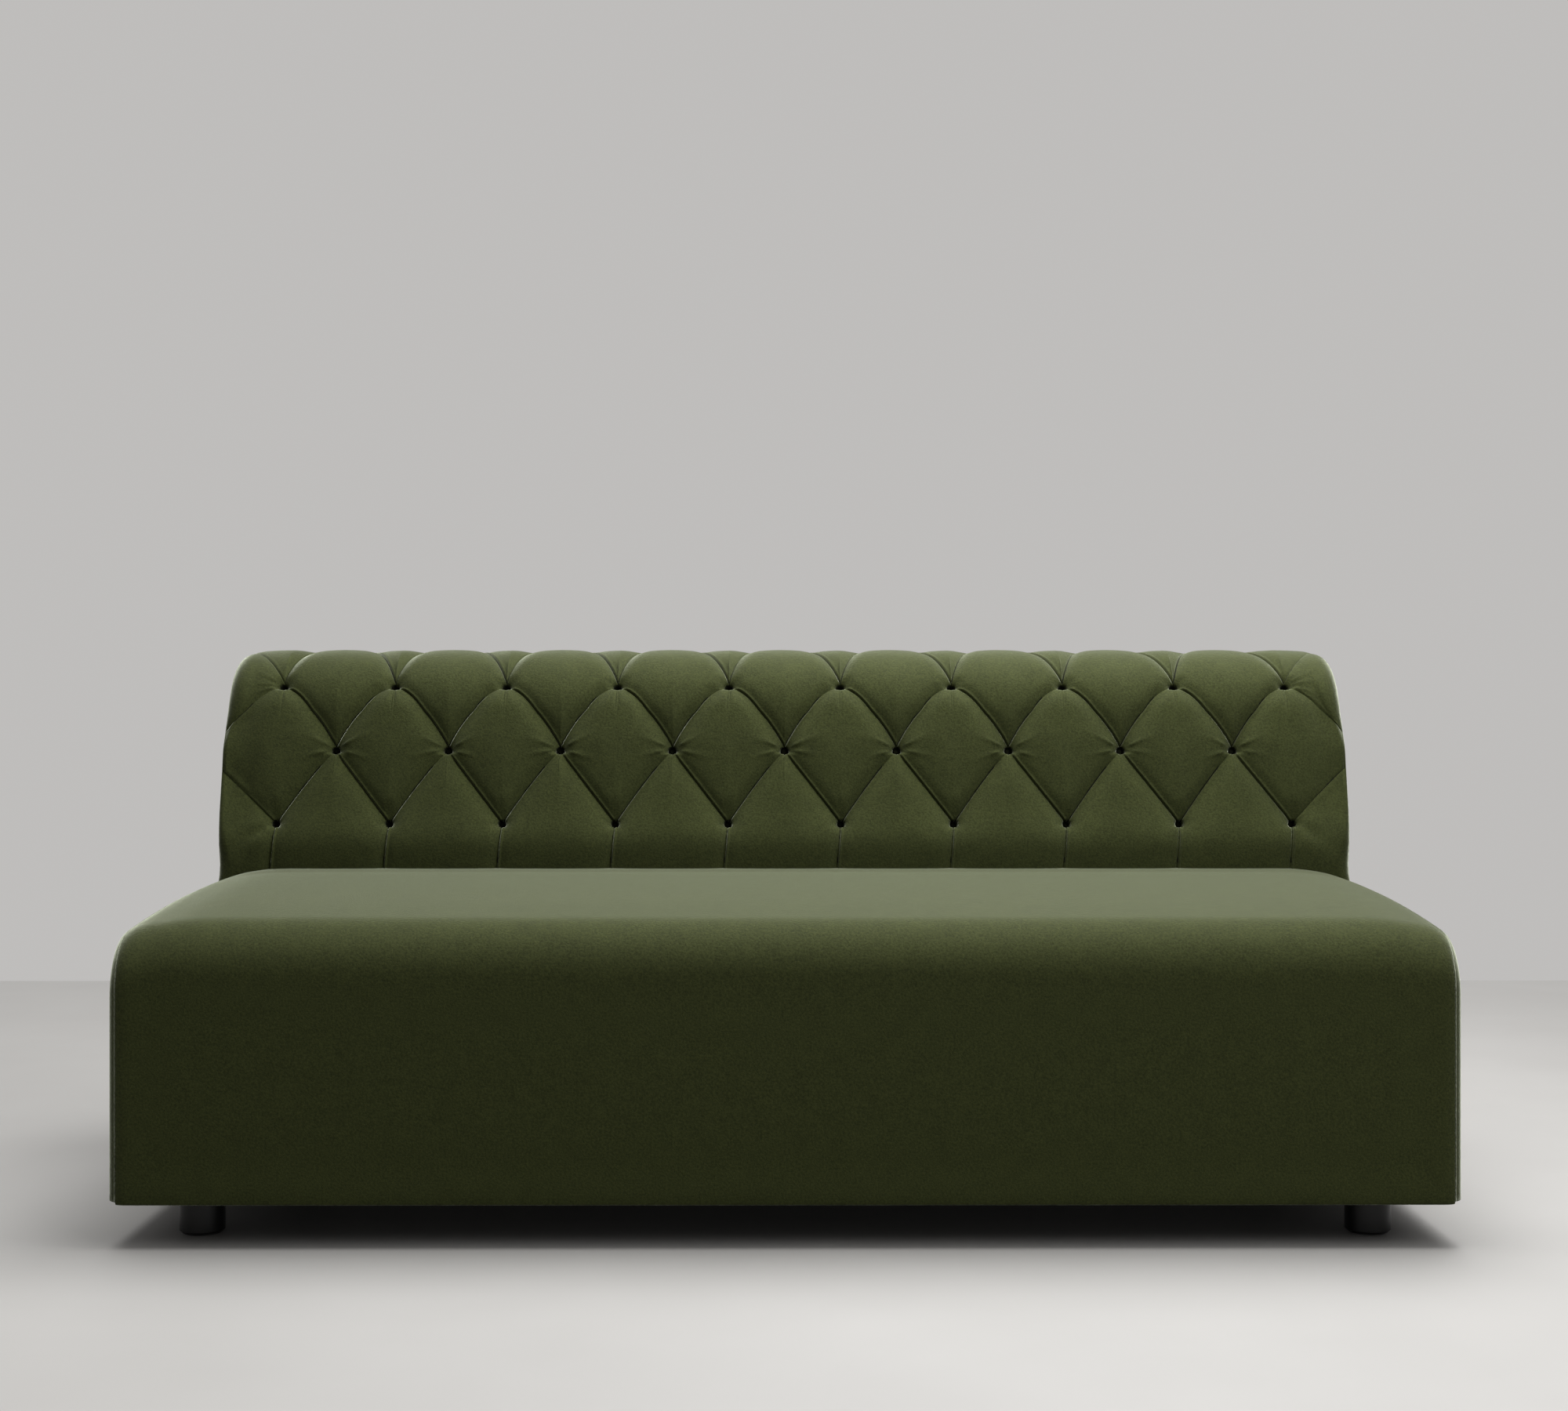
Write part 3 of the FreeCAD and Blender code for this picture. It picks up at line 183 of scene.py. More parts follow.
# %% The world as backdrop and as light
world = bpy.data.worlds.new("studio")
scene.world = world
world.use_nodes = True
tree = world.node_tree
tree.nodes.clear()
output = tree.nodes.new("ShaderNodeOutputWorld")
seen = add_node(tree, "ShaderNodeBackground", Color=(0.52, 0.51, 0.50, 1), Strength=1.0)
lit = add_node(tree, "ShaderNodeBackground", Color=(1.0, 0.99, 0.97, 1), Strength=0.28)
path = tree.nodes.new("ShaderNodeLightPath")
either = add_node(tree, "ShaderNodeMath", operation="MAXIMUM")
either_again = add_node(tree, "ShaderNodeMath", operation="MAXIMUM")
choice = tree.nodes.new("ShaderNodeMixShader")
tree.links.new(path.outputs["Is Camera Ray"], either.inputs[0])
tree.links.new(path.outputs["Is Glossy Ray"], either.inputs[1])
tree.links.new(either.outputs[0], either_again.inputs[0])
tree.links.new(path.outputs["Is Transmission Ray"], either_again.inputs[1])
tree.links.new(either_again.outputs[0], choice.inputs["Fac"])
tree.links.new(lit.outputs[0], choice.inputs[1])
tree.links.new(seen.outputs[0], choice.inputs[2])
tree.links.new(choice.outputs[0], output.inputs["Surface"])
print("world lights with", lit.inputs["Strength"].default_value)


# %% Lamps
def soft_lamp(name, place, aim, size, watts):
    """A square lamp that faces a point."""
    data = bpy.data.lights.new(name, "AREA")
    data.energy = watts
    data.size = size
    lamp = bpy.data.objects.new(name, data)
    lamp.location = place
    lamp.rotation_euler = (Vector(aim) - Vector(place)).to_track_quat("-Z", "Y").to_euler()
    scene.collection.objects.link(lamp)
    return lamp


def soft_sky(name, lean, strength, spread):
    """An even light from above, as from a bright ceiling, leaning by a few degrees about X and Y."""
    data = bpy.data.lights.new(name, "SUN")
    data.energy = strength
    data.angle = math.radians(spread)
    lamp = bpy.data.objects.new(name, data)
    lamp.rotation_euler = [math.radians(v) for v in (*lean, 0)]
    scene.collection.objects.link(lamp)
    return lamp


soft_sky("ceiling", (-7, 4), 4.0, 50)
soft_lamp("overhead", (0.4, 0.1, 2.0), (0.15, 0.2, 0.6), 1.8, 92)
soft_lamp("front_fill", (2.2, -2.4, 2.9), (0.1, 0.1, 0.5), 2.4, 80)
print("lamps:", [lamp.name for lamp in bpy.data.lights])

# %% [markdown]
# ## The cloth
# The cover is one olive cloth all over, short and brushed like velvet. Such a pile is dark when seen
# straight on and pale where the eye grazes it, so the colour is a deep olive and a strong sheen does the
# rest. Fine noise gives the grain of the pile and a wider one the faint mottling of brushed cloth.

# %% Olive cloth
PILE_DARK = (0.0125, 0.0153, 0.0034)
PILE_PALE = (0.0275, 0.0325, 0.0085)
SHEEN_TINT = (0.88, 0.94, 0.74, 1)
GRAIN_SCALE, MOTTLE_SCALE, MOTTLE_SHARE = 330, 38, 0.2
PILE_RELIEF, PILE_HEIGHT = 0.6, 0.0012


def olive_cloth(name, shade, sheen):
    """The brushed cloth, with a share of its colour and its sheen; a small share paints the shade in holes
    and creases.
    """
    material, tree, shader = new_material(name)
    place = object_place(tree)
    grain = noise(tree, place, GRAIN_SCALE, 3.0, 0.75)
    mottle = noise(tree, place, MOTTLE_SCALE, 4.0, 0.6)
    both = total(tree, grain, mottle, MOTTLE_SHARE)
    dark, pale = [tuple(c * shade for c in tone) for tone in (PILE_DARK, PILE_PALE)]
    tone = ramp(tree, both, [(0.43, dark), (0.77, pale)])
    tree.links.new(tone, shader.inputs["Base Color"])
    shader.inputs["Roughness"].default_value = 0.92
    shader.inputs["Specular IOR Level"].default_value = 0.12
    shader.inputs["Sheen Weight"].default_value = sheen
    shader.inputs["Sheen Roughness"].default_value = 0.27
    shader.inputs["Sheen Tint"].default_value = SHEEN_TINT
    bumped(tree, shader, both, PILE_RELIEF, PILE_HEIGHT)
    return material


cloth_finish = olive_cloth("olive_cloth", 1.0, 0.86)
# A darker copy without sheen is painted shade, for the tuft holes, the creases and the buttons.
painted_shade_finish = olive_cloth("painted_shade_cloth", 0.18, 0.0)
print("cloth finishes:", cloth_finish.name, "and", painted_shade_finish.name)

# %% [markdown]
# ## From grids to pieces
# Most covers here are bent grids: an operator makes a flat grid, and each vertex is moved to its place on the
# form. Sculpting could give the same forms, but a grid keeps its rows in step with seams and folds.


# %% Turning a bmesh into a piece
def add_piece(name, bm, finish, body="sofa"):
    """A smooth-shaded object at the origin that rides on a body."""
    mesh = bpy.data.meshes.new(name)
    bm.to_mesh(mesh)
    bm.free()
    mesh.polygons.foreach_set("use_smooth", [True] * len(mesh.polygons))
    mesh.materials.append(finish)
    piece = bpy.data.objects.new(name, mesh)
    scene.collection.objects.link(piece)
    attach(piece, body)
    print(name, "has", len(mesh.polygons), "faces")
    return piece


def bent_grid(points):
    """A grid whose vertices are moved to an array of points, rows by columns by three."""
    rows, columns = points.shape[0] - 1, points.shape[1] - 1
    bm = bmesh.new()
    bmesh.ops.create_grid(bm, x_segments=columns, y_segments=rows, size=1)
    for vert in bm.verts:
        column = round((vert.co.x + 1) / 2 * columns)
        row = round((vert.co.y + 1) / 2 * rows)
        vert.co = points[row, column]
    return bm


# %% [markdown]
# ## The seat
# The seat is one tight block. Its top and front are a single panel: up the front, over a soft roll and
# back over a low crown. The sides fall away in a wide round. A box with bevels would come close, but the
# crown and the uneven round need a section that changes across the width, so a grid is laid over the
# seat and each column of it follows the section at its own place.

# %% The seat's section
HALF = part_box("right_seat_side_cover")[1].x
SEAT_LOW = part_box("seat_cover")[0].z
SEAT_HEIGHT = 0.449
SEAT_DEPTH = 0.552
CROWN = 0.034
FRONT_ROLL = 0.071
SIDE_ROUND = 0.121
SIDE_DROP = 0.036
SIDE_POWER = 2.2
CORNER = 0.026
HEM = 0.004
HEM_FOLD = (0.03, 0.02, 0.012, HEM)
HEM_TURN = (22, 45, 68)
FRONT_STEPS, ROLL_STEPS, TOP_STEPS = 26, 17, 42
INTO_BACK = 0.012
SEAT_FOOT = 0.33
crown_radius = (SEAT_DEPTH ** 2 + CROWN ** 2) / (2 * CROWN)


def side_drop(x):
    """How far the top has fallen at a distance from the middle."""
    out = np.clip((np.abs(x) - (HALF - SIDE_ROUND)) / SIDE_ROUND, 0, 1)
    return SIDE_DROP * (1 - (1 - out ** SIDE_POWER) ** (1 / SIDE_POWER))


def corner_setback(x):
    """How far the front face has fallen back in its rounded corner."""
    out = np.clip(np.abs(x) - (HALF - CORNER), 0, CORNER)
    return CORNER - np.sqrt(CORNER ** 2 - out ** 2)


def seat_section(x, rear):
    """The seat's section at x, as rows of (deep, height), from the turned-under hem to the rear."""
    height = SEAT_HEIGHT - side_drop(x)
    face = corner_setback(x)
    centre = face + FRONT_ROLL
    reach, away = crown_radius - FRONT_ROLL, SEAT_DEPTH - centre
    high = height - crown_radius + math.sqrt(reach ** 2 - away ** 2)
    lean = math.pi / 2 - math.asin(away / reach)
    rows = [(face + fold, SEAT_LOW) for fold in HEM_FOLD]
    for angle in np.radians(HEM_TURN):
        rows.append((face + HEM - HEM * math.sin(angle), SEAT_LOW + HEM - HEM * math.cos(angle)))
    for share in np.linspace(0, 1, FRONT_STEPS):
        rows.append((face, SEAT_LOW + HEM + share * (high - SEAT_LOW - HEM)))
    for share in np.linspace(0, 1, ROLL_STEPS)[1:]:
        angle = lean * share
        rows.append((centre - FRONT_ROLL * math.cos(angle), high + FRONT_ROLL * math.sin(angle)))
    start = rows[-1][0]
    for share in np.linspace(0, 1, TOP_STEPS)[1:]:
        deep = start + share * (rear - start)
        fall = crown_radius - math.sqrt(crown_radius ** 2 - (SEAT_DEPTH - deep) ** 2)
        rows.append((deep, height - fall))
    return np.array(rows)


print("seat's crown has a radius of", round(crown_radius, 2), "m")


# %% The top and front panel
SEAM_X = HALF - 0.013
SEAM_TUCK = 0.004
flat = np.linspace(-(HALF - SIDE_ROUND), HALF - SIDE_ROUND, 121)
turn = HALF - SIDE_ROUND + (SEAM_X - HALF + SIDE_ROUND) * np.sin(np.linspace(0, math.pi / 2, 15))[1:]
across = np.concatenate([-turn[::-1], flat, turn])
sections = []
for x in across:
    section = seat_section(x, SEAT_DEPTH + INTO_BACK)
    rear, edge = section[-1]
    turned_down = [(rear + 0.001, edge - drop) for drop in (0.004, 0.02, 0.05, edge - SEAT_FOOT)]
    sections.append(np.concatenate([section, turned_down]))
seat_points = np.zeros((len(sections[0]), len(across), 3))
for column, (x, section) in enumerate(zip(across, sections)):
    seat_points[:, column, 0] = x
    seat_points[:, column, 1] = FRONT_Y + section[:, 0]
    seat_points[:, column, 2] = section[:, 1]


def with_tucked_edges(points, depth, along):
    """The grid with one more column at each end, turned inwards where a seam closes it."""
    first = points[:, :1] + depth * along[:, :1]
    last = points[:, -1:] + depth * along[:, -1:]
    return np.concatenate([first, points, last], axis=1)


seat_middle = np.array([0, FRONT_Y + 0.29, 0.25])
towards = seat_middle - seat_points
towards[..., 0] = 0
inward = towards / np.linalg.norm(towards, axis=2, keepdims=True)
seat_bm = bent_grid(with_tucked_edges(seat_points, SEAM_TUCK, inward))
seat_panel = add_piece("seat_panel", seat_bm, cloth_finish)
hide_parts("seat_cover")

# %% [markdown]
# ## Letting the seat swell
# Foam under a tight cover pushes it out a little, more in the open middle than near the seams. A short cloth
# simulation with pressure and no gravity does that. The panel starts a few millimetres smaller, is held
# along its seams and hem, and no point may travel further than a set distance.


# %% Swelling by cloth simulation
def smooth_step(value):
    """0 below 0, 1 above 1 and an even turn between them."""
    value = np.clip(value, 0, 1)
    return value * value * (3 - 2 * value)


SWELL_SINK = 0.0010
HELD_BELOW = 0.02
EVENING = 60


def swell(piece, openness, start_in, most, pressure=4.0, frames=20):
    """Swells a piece. Openness is 0 where the cloth is held and 1 in the open."""
    mesh = piece.data
    rest = np.array([v.co for v in mesh.vertices])
    outward = np.array([v.normal for v in mesh.vertices])
    start = rest - outward * (start_in * openness)[:, None]
    mesh.vertices.foreach_set("co", start.ravel())
    mesh.update()
    held = piece.vertex_groups.new(name="held")
    held.add([int(i) for i in np.flatnonzero(openness < HELD_BELOW)], 1.0, "REPLACE")
    cloth = piece.modifiers.new("swell", "CLOTH")
    cloth.settings.vertex_group_mass = held.name
    cloth.settings.use_pressure = True
    cloth.settings.uniform_pressure_force = pressure
    cloth.settings.effector_weights.gravity = 0
    cloth.settings.tension_stiffness = cloth.settings.compression_stiffness = 15
    cloth.settings.bending_stiffness = 2.0
    cloth.point_cache.frame_start, cloth.point_cache.frame_end = 1, frames
    for step in range(1, frames + 1):
        scene.frame_set(step)
    settled = piece.evaluated_get(bpy.context.evaluated_depsgraph_get()).to_mesh()
    way = np.array([v.co for v in settled.vertices]) - start
    piece.modifiers.remove(cloth)
    piece.vertex_groups.clear()
    scene.frame_set(1)
    lift = np.sum(way * outward, axis=1)
    least = np.maximum(start_in * openness - SWELL_SINK, 0)
    lift = np.clip(lift, least, np.maximum(least, most))
    ends = np.array([e.vertices[:] for e in mesh.edges])
    neighbours = np.bincount(ends.ravel(), minlength=len(rest))
    for _ in range(EVENING):
        around = (np.bincount(ends[:, 0], lift[ends[:, 1]], len(rest))
                  + np.bincount(ends[:, 1], lift[ends[:, 0]], len(rest)))
        lift = np.where(openness < HELD_BELOW, lift, (lift + around / neighbours) / 2)
    final = start + outward * lift[:, None]
    mesh.vertices.foreach_set("co", final.ravel())
    mesh.update()
    change = np.sum((final - rest) * outward, axis=1) * 1000
    print(piece.name, "swelled by", round(change.min(), 1), "to", round(change.max(), 1), "mm")


# %% The seat swells
SWELL_START, SWELL_MOST, SWELL_FADE = 0.003, 0.0042, 0.05
SEAM_HELD, HEM_HELD, REAR_HELD = 0.002, 0.006, 0.02
spots = np.array([v.co for v in seat_panel.data.vertices])
from_seam = smooth_step((SEAM_X - SEAM_HELD - np.abs(spots[:, 0])) / SWELL_FADE)
from_hem = smooth_step((spots[:, 2] - SEAT_LOW - HEM_HELD) / SWELL_FADE)
from_back = smooth_step((FRONT_Y + SEAT_DEPTH - REAR_HELD - spots[:, 1]) / SWELL_FADE)
swell(seat_panel, from_seam * from_hem * from_back, SWELL_START, SWELL_MOST)

# %% [markdown]
# ## The sides of the seat
# Each side is a flat panel whose edge wraps a little way round the front corner to meet the front panel
# at a plain seam. It grows inwards from that seam: a ring of vertices is extruded again and again, first
# round the corner and then towards the middle of the panel, where one face closes it.


# %% Panels that grow inwards from their edge
def ringed_panel(rings):
    """A panel from a list of closed rings of points, each extruded from the one before, closed by a face."""
    bm = bmesh.new()
    bmesh.ops.create_circle(bm, cap_ends=False, segments=len(rings[0]), radius=1)
    loop = sorted(bm.verts, key=lambda v: math.atan2(v.co.y, v.co.x))
    edges = list(bm.edges)
    for vert, point in zip(loop, rings[0]):
        vert.co = point
    for ring in rings[1:]:
        grown = bmesh.ops.extrude_edge_only(bm, edges=edges)["geom"]
        fresh = {v for v in grown if isinstance(v, bmesh.types.BMVert)}
        edges = [e for e in grown if isinstance(e, bmesh.types.BMEdge) and set(e.verts) <= fresh]
        following = []
        for vert in loop:
            following.append(next(e.other_vert(vert) for e in vert.link_edges if e.other_vert(vert) in fresh))
        loop = following
        for vert, point in zip(loop, ring):
            vert.co = point
    bmesh.ops.contextual_create(bm, geom=edges)
    return bm


def faced(bm, direction):
    """The mesh with its faces turned so that they look along a direction on the whole."""
    bmesh.ops.recalc_face_normals(bm, faces=bm.faces)
    facing = sum((f.normal * f.calc_area() for f in bm.faces), Vector())
    if facing.dot(Vector(direction)) < 0:
        bmesh.ops.reverse_faces(bm, faces=bm.faces)
    return bm


# %% The two side panels
SIDE_BULGE = 0.0015
SIDE_CENTRE = np.array([0.29, 0.22])
SIDE_REAR = SEAT_DEPTH - 0.001
CORNER_DEGREES = (30, 32, 38, 47, 56, 65, 74, 82, 90)
SIDE_SHARES = (0.004, 0.03, 0.08, 0.16, 0.28, 0.45, 0.7)
closing_low = np.linspace(0, 1, 30)[1:-1]


def side_outline(x):
    """The closed outline of the seat's side at x, as (deep, height)."""
    section = seat_section(x, SIDE_REAR)[len(HEM_FOLD) + len(HEM_TURN):]
    rear_low = np.array([SIDE_REAR, SEAT_LOW])
    down = [section[-1] + (rear_low - section[-1]) * s for s in np.linspace(0, 1, 14)[1:]]
    back = [rear_low + (section[0] * [1, 0] + [0, SEAT_LOW] - rear_low) * s for s in closing_low]
    return np.concatenate([section, down, back])


def side_rings(side):
    """Rings from the seam round the corner and on to the middle of the side, with a slight bulge."""
    rings = []
    seam = side_outline(SEAM_X)
    towards = SIDE_CENTRE - seam
    tucked = seam + SEAM_TUCK * towards / np.linalg.norm(towards, axis=1, keepdims=True)
    rings.append((SEAM_X + 0.0004, tucked))
    for x in HALF - CORNER * (1 - np.sin(np.radians(CORNER_DEGREES))):
        rings.append((max(x, SEAM_X + 0.0008), side_outline(x)))
    edge = rings[-1][1]
    for share in SIDE_SHARES:
        lift = SIDE_BULGE * (1 - (1 - share) ** 2)
        rings.append((HALF + lift, edge + (SIDE_CENTRE - edge) * share))
    placed = []
    for x, outline in rings:
        ring = np.zeros((len(outline), 3))
        ring[:, 0] = side * x
        ring[:, 1] = FRONT_Y + outline[:, 0]
        ring[:, 2] = outline[:, 1]
        placed.append(ring)
    return placed


for side, word in ((-1, "left"), (1, "right")):
    bm = faced(ringed_panel(side_rings(side)), (side, 0, 0))
    panel = add_piece(f"{word}_seat_side_panel", bm, cloth_finish)
    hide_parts(f"{word}_seat_side_cover")

# %% [markdown]
# ## The tufted back
# Deep tufting is one cloth drawn down to buttons in a diamond pattern, with the spare cloth folded into
# pleats between them. A grid is laid over the reclined face and the roll. Its rows are gathered so that
# they run along the pleats, which keeps the folds crisp with few faces, and every vertex is then pushed
# in by a depth: a funnel at each tuft, a shallow valley with a lapped edge along each pleat, and short
# wrinkles where the cloth is pulled tight.

# %% The back's form
LEAN = math.radians(12)
ROLL = 0.120
ROLL_Z = 0.670
ROLL_DEEP = SEAT_DEPTH + (ROLL + math.sin(LEAN) * (ROLL_Z - SEAT_HEIGHT)) / math.cos(LEAN)
FACE = (ROLL_Z + ROLL * math.sin(LEAN) - SEAT_HEIGHT) / math.cos(LEAN)
PITCH_RADIUS = 0.080
ROLL_STRETCH = 1.42
OVERHANG = 0.014
TUCK = 0.070
END_ROUND = 0.035
END_WRAP = 0.030
PITCH = 0.175
COLUMNS = 10
TUFT_FLOOR = 0.006
LOW_ROW, MID_ROW, HIGH_ROW = 0.072, 0.188, 0.304
TOP_ROW = FACE + PITCH_RADIUS * (math.radians(113) - LEAN)
BACK_END = FACE + PITCH_RADIUS * (math.pi + math.acos((ROLL - OVERHANG) / ROLL) - LEAN)


def back_spot(x, along, depth):
    """Points of the back from the place across it, the distance along its face and the depth inward."""
    on_roll = along > FACE
    angle = LEAN + (along - FACE) / PITCH_RADIUS
    rising = np.where(along < 0, along, along * math.cos(LEAN))
    leaning = np.where(along < 0, 0, along * math.sin(LEAN))
    deep = np.where(on_roll, ROLL_DEEP - (ROLL - depth) * np.cos(angle),
                    SEAT_DEPTH + leaning + depth * math.cos(LEAN))
    high = np.where(on_roll, ROLL_Z + (ROLL - depth) * np.sin(angle),
                    SEAT_HEIGHT + rising - depth * math.sin(LEAN))
    return np.stack([x + 0 * along, FRONT_Y + deep, high], axis=-1)


def stretched(along):
    """Distance along the surface: the roll's outside is longer than the circle its rows are set out on."""
    return np.where(along > FACE, FACE + (along - FACE) * ROLL_STRETCH, along)


print("face of the back is", round(FACE, 3), "m long up to the roll")

# %% [markdown]
# ### Columns of the grid
# Columns stand close together beside each tuft and wider apart between them. At the ends the cloth turns
# round a corner, so a few more columns follow the turn and three lie flat on the end, where the seam is.

# %% Columns of the tufted grid
LAST = (COLUMNS - 1) / 2 * PITCH
beside_tuft = np.array([0, 1.0, 2.0, 3.2, 4.6, 6.2, 8, 10, 12.5, 15.5, 19, 23, 27.5, 32.5, 38, 43.75]) / 1000
gap = np.concatenate([beside_tuft, PITCH / 2 - beside_tuft[-2:0:-1]])
inner = np.concatenate([-LAST + k * PITCH / 2 + gap for k in range(2 * COLUMNS - 2)] + [[LAST]])
END_FLAT, END_TURN, END_SEAM = 3, 13, 3
turn_angle = np.radians(np.linspace(0, 90, END_TURN + 1)[1:])
past_tuft = LAST + beside_tuft[1:]
nominal_end = np.concatenate([past_tuft, np.linspace(past_tuft[-1], HALF, END_FLAT + END_TURN + 1)[1:],
                              [HALF] * END_SEAM])
nominal = np.concatenate([-nominal_end[::-1], inner, nominal_end])


def column_share(x):
    """0 on a column of the lowest row of tufts and 1 on the columns between them."""
    offset = np.mod(x - LAST, PITCH)
    between = np.minimum(offset, PITCH - offset) / (PITCH / 2)
    outer = (np.abs(x) - LAST) / (PITCH / 2 + END_WRAP)
    return np.where(np.abs(x) > LAST, outer, between)


share = column_share(nominal)


def share_at_end(radius):
    """The shares of the columns where the end is rounded by a radius."""
    flat_end = past_tuft[-1] + (HALF - radius - past_tuft[-1]) * np.linspace(0, 1, END_FLAT + 1)[1:]
    end = np.concatenate([past_tuft, flat_end, HALF - radius * (1 - np.sin(turn_angle)), [HALF] * END_SEAM])
    return column_share(np.concatenate([-end[::-1], inner, end]))


PLEAT_END_RADII = (0.009, 0.016, 0.035)
shares = [share_at_end(radius) for radius in PLEAT_END_RADII]
at_end = np.abs(nominal) > LAST
right_of_tuft = np.where(at_end, nominal > 0, np.mod(nominal - LAST, PITCH) < PITCH / 2)
print("tufted grid has", len(nominal), "columns")

# %% [markdown]
# ### Lines of the pleats
# A pleat leaves its upper tuft almost level, round the full top of the puff below it, and drops steeply
# into its lower tuft. Straight lines would do for a flat quilt, but here each line is a power of the way
# between two tufts, and the two slanting directions are bowed by different amounts.

# %% Lines of the pleats
OPEN_ROW = 0.281
LIP = 0.0025
END_SHARE = (HALF - LAST) / (PITCH / 2 + END_WRAP)
END_BOW = 1.7
bow_low = np.where(right_of_tuft, 1.15, 1.0)
bow_high = np.where(right_of_tuft, 1.85, 1.95)
bow_top = np.where(at_end, 1.3, np.where(right_of_tuft, 2.4, 1.6))
low_fall = (1 - shares[0]) ** bow_low
high_fall = np.where(at_end, END_SHARE * (shares[1] / END_SHARE) ** END_BOW, shares[1] ** bow_high)
top_fall = (1 - shares[2]) ** bow_top
pleats = [
    (MID_ROW - LIP) - low_fall * (MID_ROW - LIP - LOW_ROW),
    (OPEN_ROW - LIP) - high_fall * (OPEN_ROW - LIP - MID_ROW - TUFT_FLOOR),
    TOP_ROW - top_fall * (TOP_ROW - OPEN_ROW - TUFT_FLOOR),
]
down_pleat = [1 - shares[0], shares[1], 1 - shares[2]]
leans_right = [~right_of_tuft, right_of_tuft, ~right_of_tuft]
print("rows of tufts at", [round(v, 3) for v in (LOW_ROW, MID_ROW, OPEN_ROW, TOP_ROW)], "m up the face")


# %% Rows of the tufted grid
def eased(count, from_pleat, to_pleat):
    """Shares from 0 to 1, close together at the ends that are pleats."""
    at = np.linspace(0, 1, count + 1)
    if from_pleat and to_pleat:
        return (1 - np.cos(math.pi * at)) / 2
    return np.sin(math.pi / 2 * at) if to_pleat else 1 - np.cos(math.pi / 2 * at)


spans = [
    (np.full_like(share, -TUCK), pleats[0], eased(22, False, True)),
    (pleats[0], pleats[1], eased(48, True, True)),
    (pleats[1], pleats[2], eased(48, True, True)),
    (pleats[2], np.full_like(share, BACK_END), eased(26, True, False)),
]
along_rows = [spans[0][0]]
for start, stop, steps in spans:
    along_rows += [start + step * (stop - start) for step in steps[1:]]
HEM_ROWS = 2
along_rows += [along_rows[-1]] * HEM_ROWS
along = np.stack(along_rows)
surface = stretched(along)
print("tufted grid has", len(along), "rows")

# %% [markdown]
# ### Rounded ends
# The ends of the back are tight on the face and grow rounder over the roll. A bevel would have one radius, so
# each row gets its own: its last columns follow a quarter turn of that radius.

# %% Rounded ends
TIGHT_END, FOOT_END, SQUARE_END = 0.008, 0.026, 0.0015
REAR_CORNER = 0.006
SEAM_RUN = np.array([0.004, 0.008, 0.012])
row_along = along[:, :1]
end_radius = (TIGHT_END + (END_ROUND - TIGHT_END) * smooth_step((row_along - 0.18) / 0.10)
              + (FOOT_END - TIGHT_END) * smooth_step((0.10 - row_along) / 0.10))
from_foot = smooth_step((row_along + 0.048) / 0.055)
from_rear = smooth_step((BACK_END - row_along) / 0.09)
end_radius = SQUARE_END + (end_radius - SQUARE_END) * from_foot
end_radius = REAR_CORNER + (end_radius - REAR_CORNER) * from_rear
flat_steps = np.linspace(0, 1, END_FLAT + 1)[1:]
end_x = np.concatenate([
    0 * end_radius + past_tuft,
    past_tuft[-1] + (HALF - end_radius - past_tuft[-1]) * flat_steps,
    HALF - end_radius * (1 - np.sin(turn_angle)),
    0 * end_radius + [HALF] * END_SEAM,
], axis=1)
end_in = np.concatenate([
    0 * end_radius * np.ones(len(past_tuft) + END_FLAT),
    end_radius * (1 - np.cos(turn_angle)),
    end_radius + SEAM_RUN * np.maximum(from_foot * from_rear, 0.02),
], axis=1)
middle_x = np.broadcast_to(inner, (len(along), len(inner)))
across_back = np.concatenate([-end_x[:, ::-1], middle_x, end_x], axis=1)
end_depth = np.concatenate([end_in[:, ::-1], 0 * middle_x, end_in], axis=1)
print("ends are rounded by", round(end_radius.min() * 1000, 1), "to", round(end_radius.max() * 1000, 1), "mm")

# %% [markdown]
# ### Depth of the pleats
# Along each line the cloth sinks in a wide valley, then turns in more steeply, and ends in the lapped edge of
# the fold: a crease with a small rolled ridge beside it. Creased by an operator, the fold would have one
# strength all along, so each part is a depth that fades near the upper tuft and differs by direction.

# %% Depth of the pleats
PUFF_DEPTH = 0.0062
WIDTH_ABOVE = 0.075
WIDTH_BELOW = 0.062
PLEAT_DEPTH = 0.0040
TURN_ABOVE, TURN_BELOW = 0.018, 0.024
CREST_TURN = 0.7
RIDGE_RISE, RIDGE_PLACE, RIDGE_WIDTH = 0.0022, 0.0025, 0.0014
CREASE_DEPTH, CREASE_PLACE, CREASE_WIDTH = 0.0024, -0.0004, 0.0010
# Half width of the strips along the creases whose cloth is painted dark as shade.
PAINTED_CREASE_HALF = 0.0006


def lapped(right, ridge_part=1.0, crease_part=1.0):
    """The lapped edge of a pleat: a narrow crease with a small rolled ridge to the right of it."""
    ridge = ridge_part * RIDGE_RISE * np.exp(-((right - RIDGE_PLACE) / RIDGE_WIDTH) ** 2)
    crease = crease_part * CREASE_DEPTH * np.exp(-((right - CREASE_PLACE) / CREASE_WIDTH) ** 2)
    return crease - ridge


def valley(distance, depth, above, below):
    """A soft valley with a sharp bottom, wider on its upper side."""
    width = np.where(distance > 0, above, below)
    return depth * np.clip(1 - np.abs(distance) / width, 0, 1) ** 2


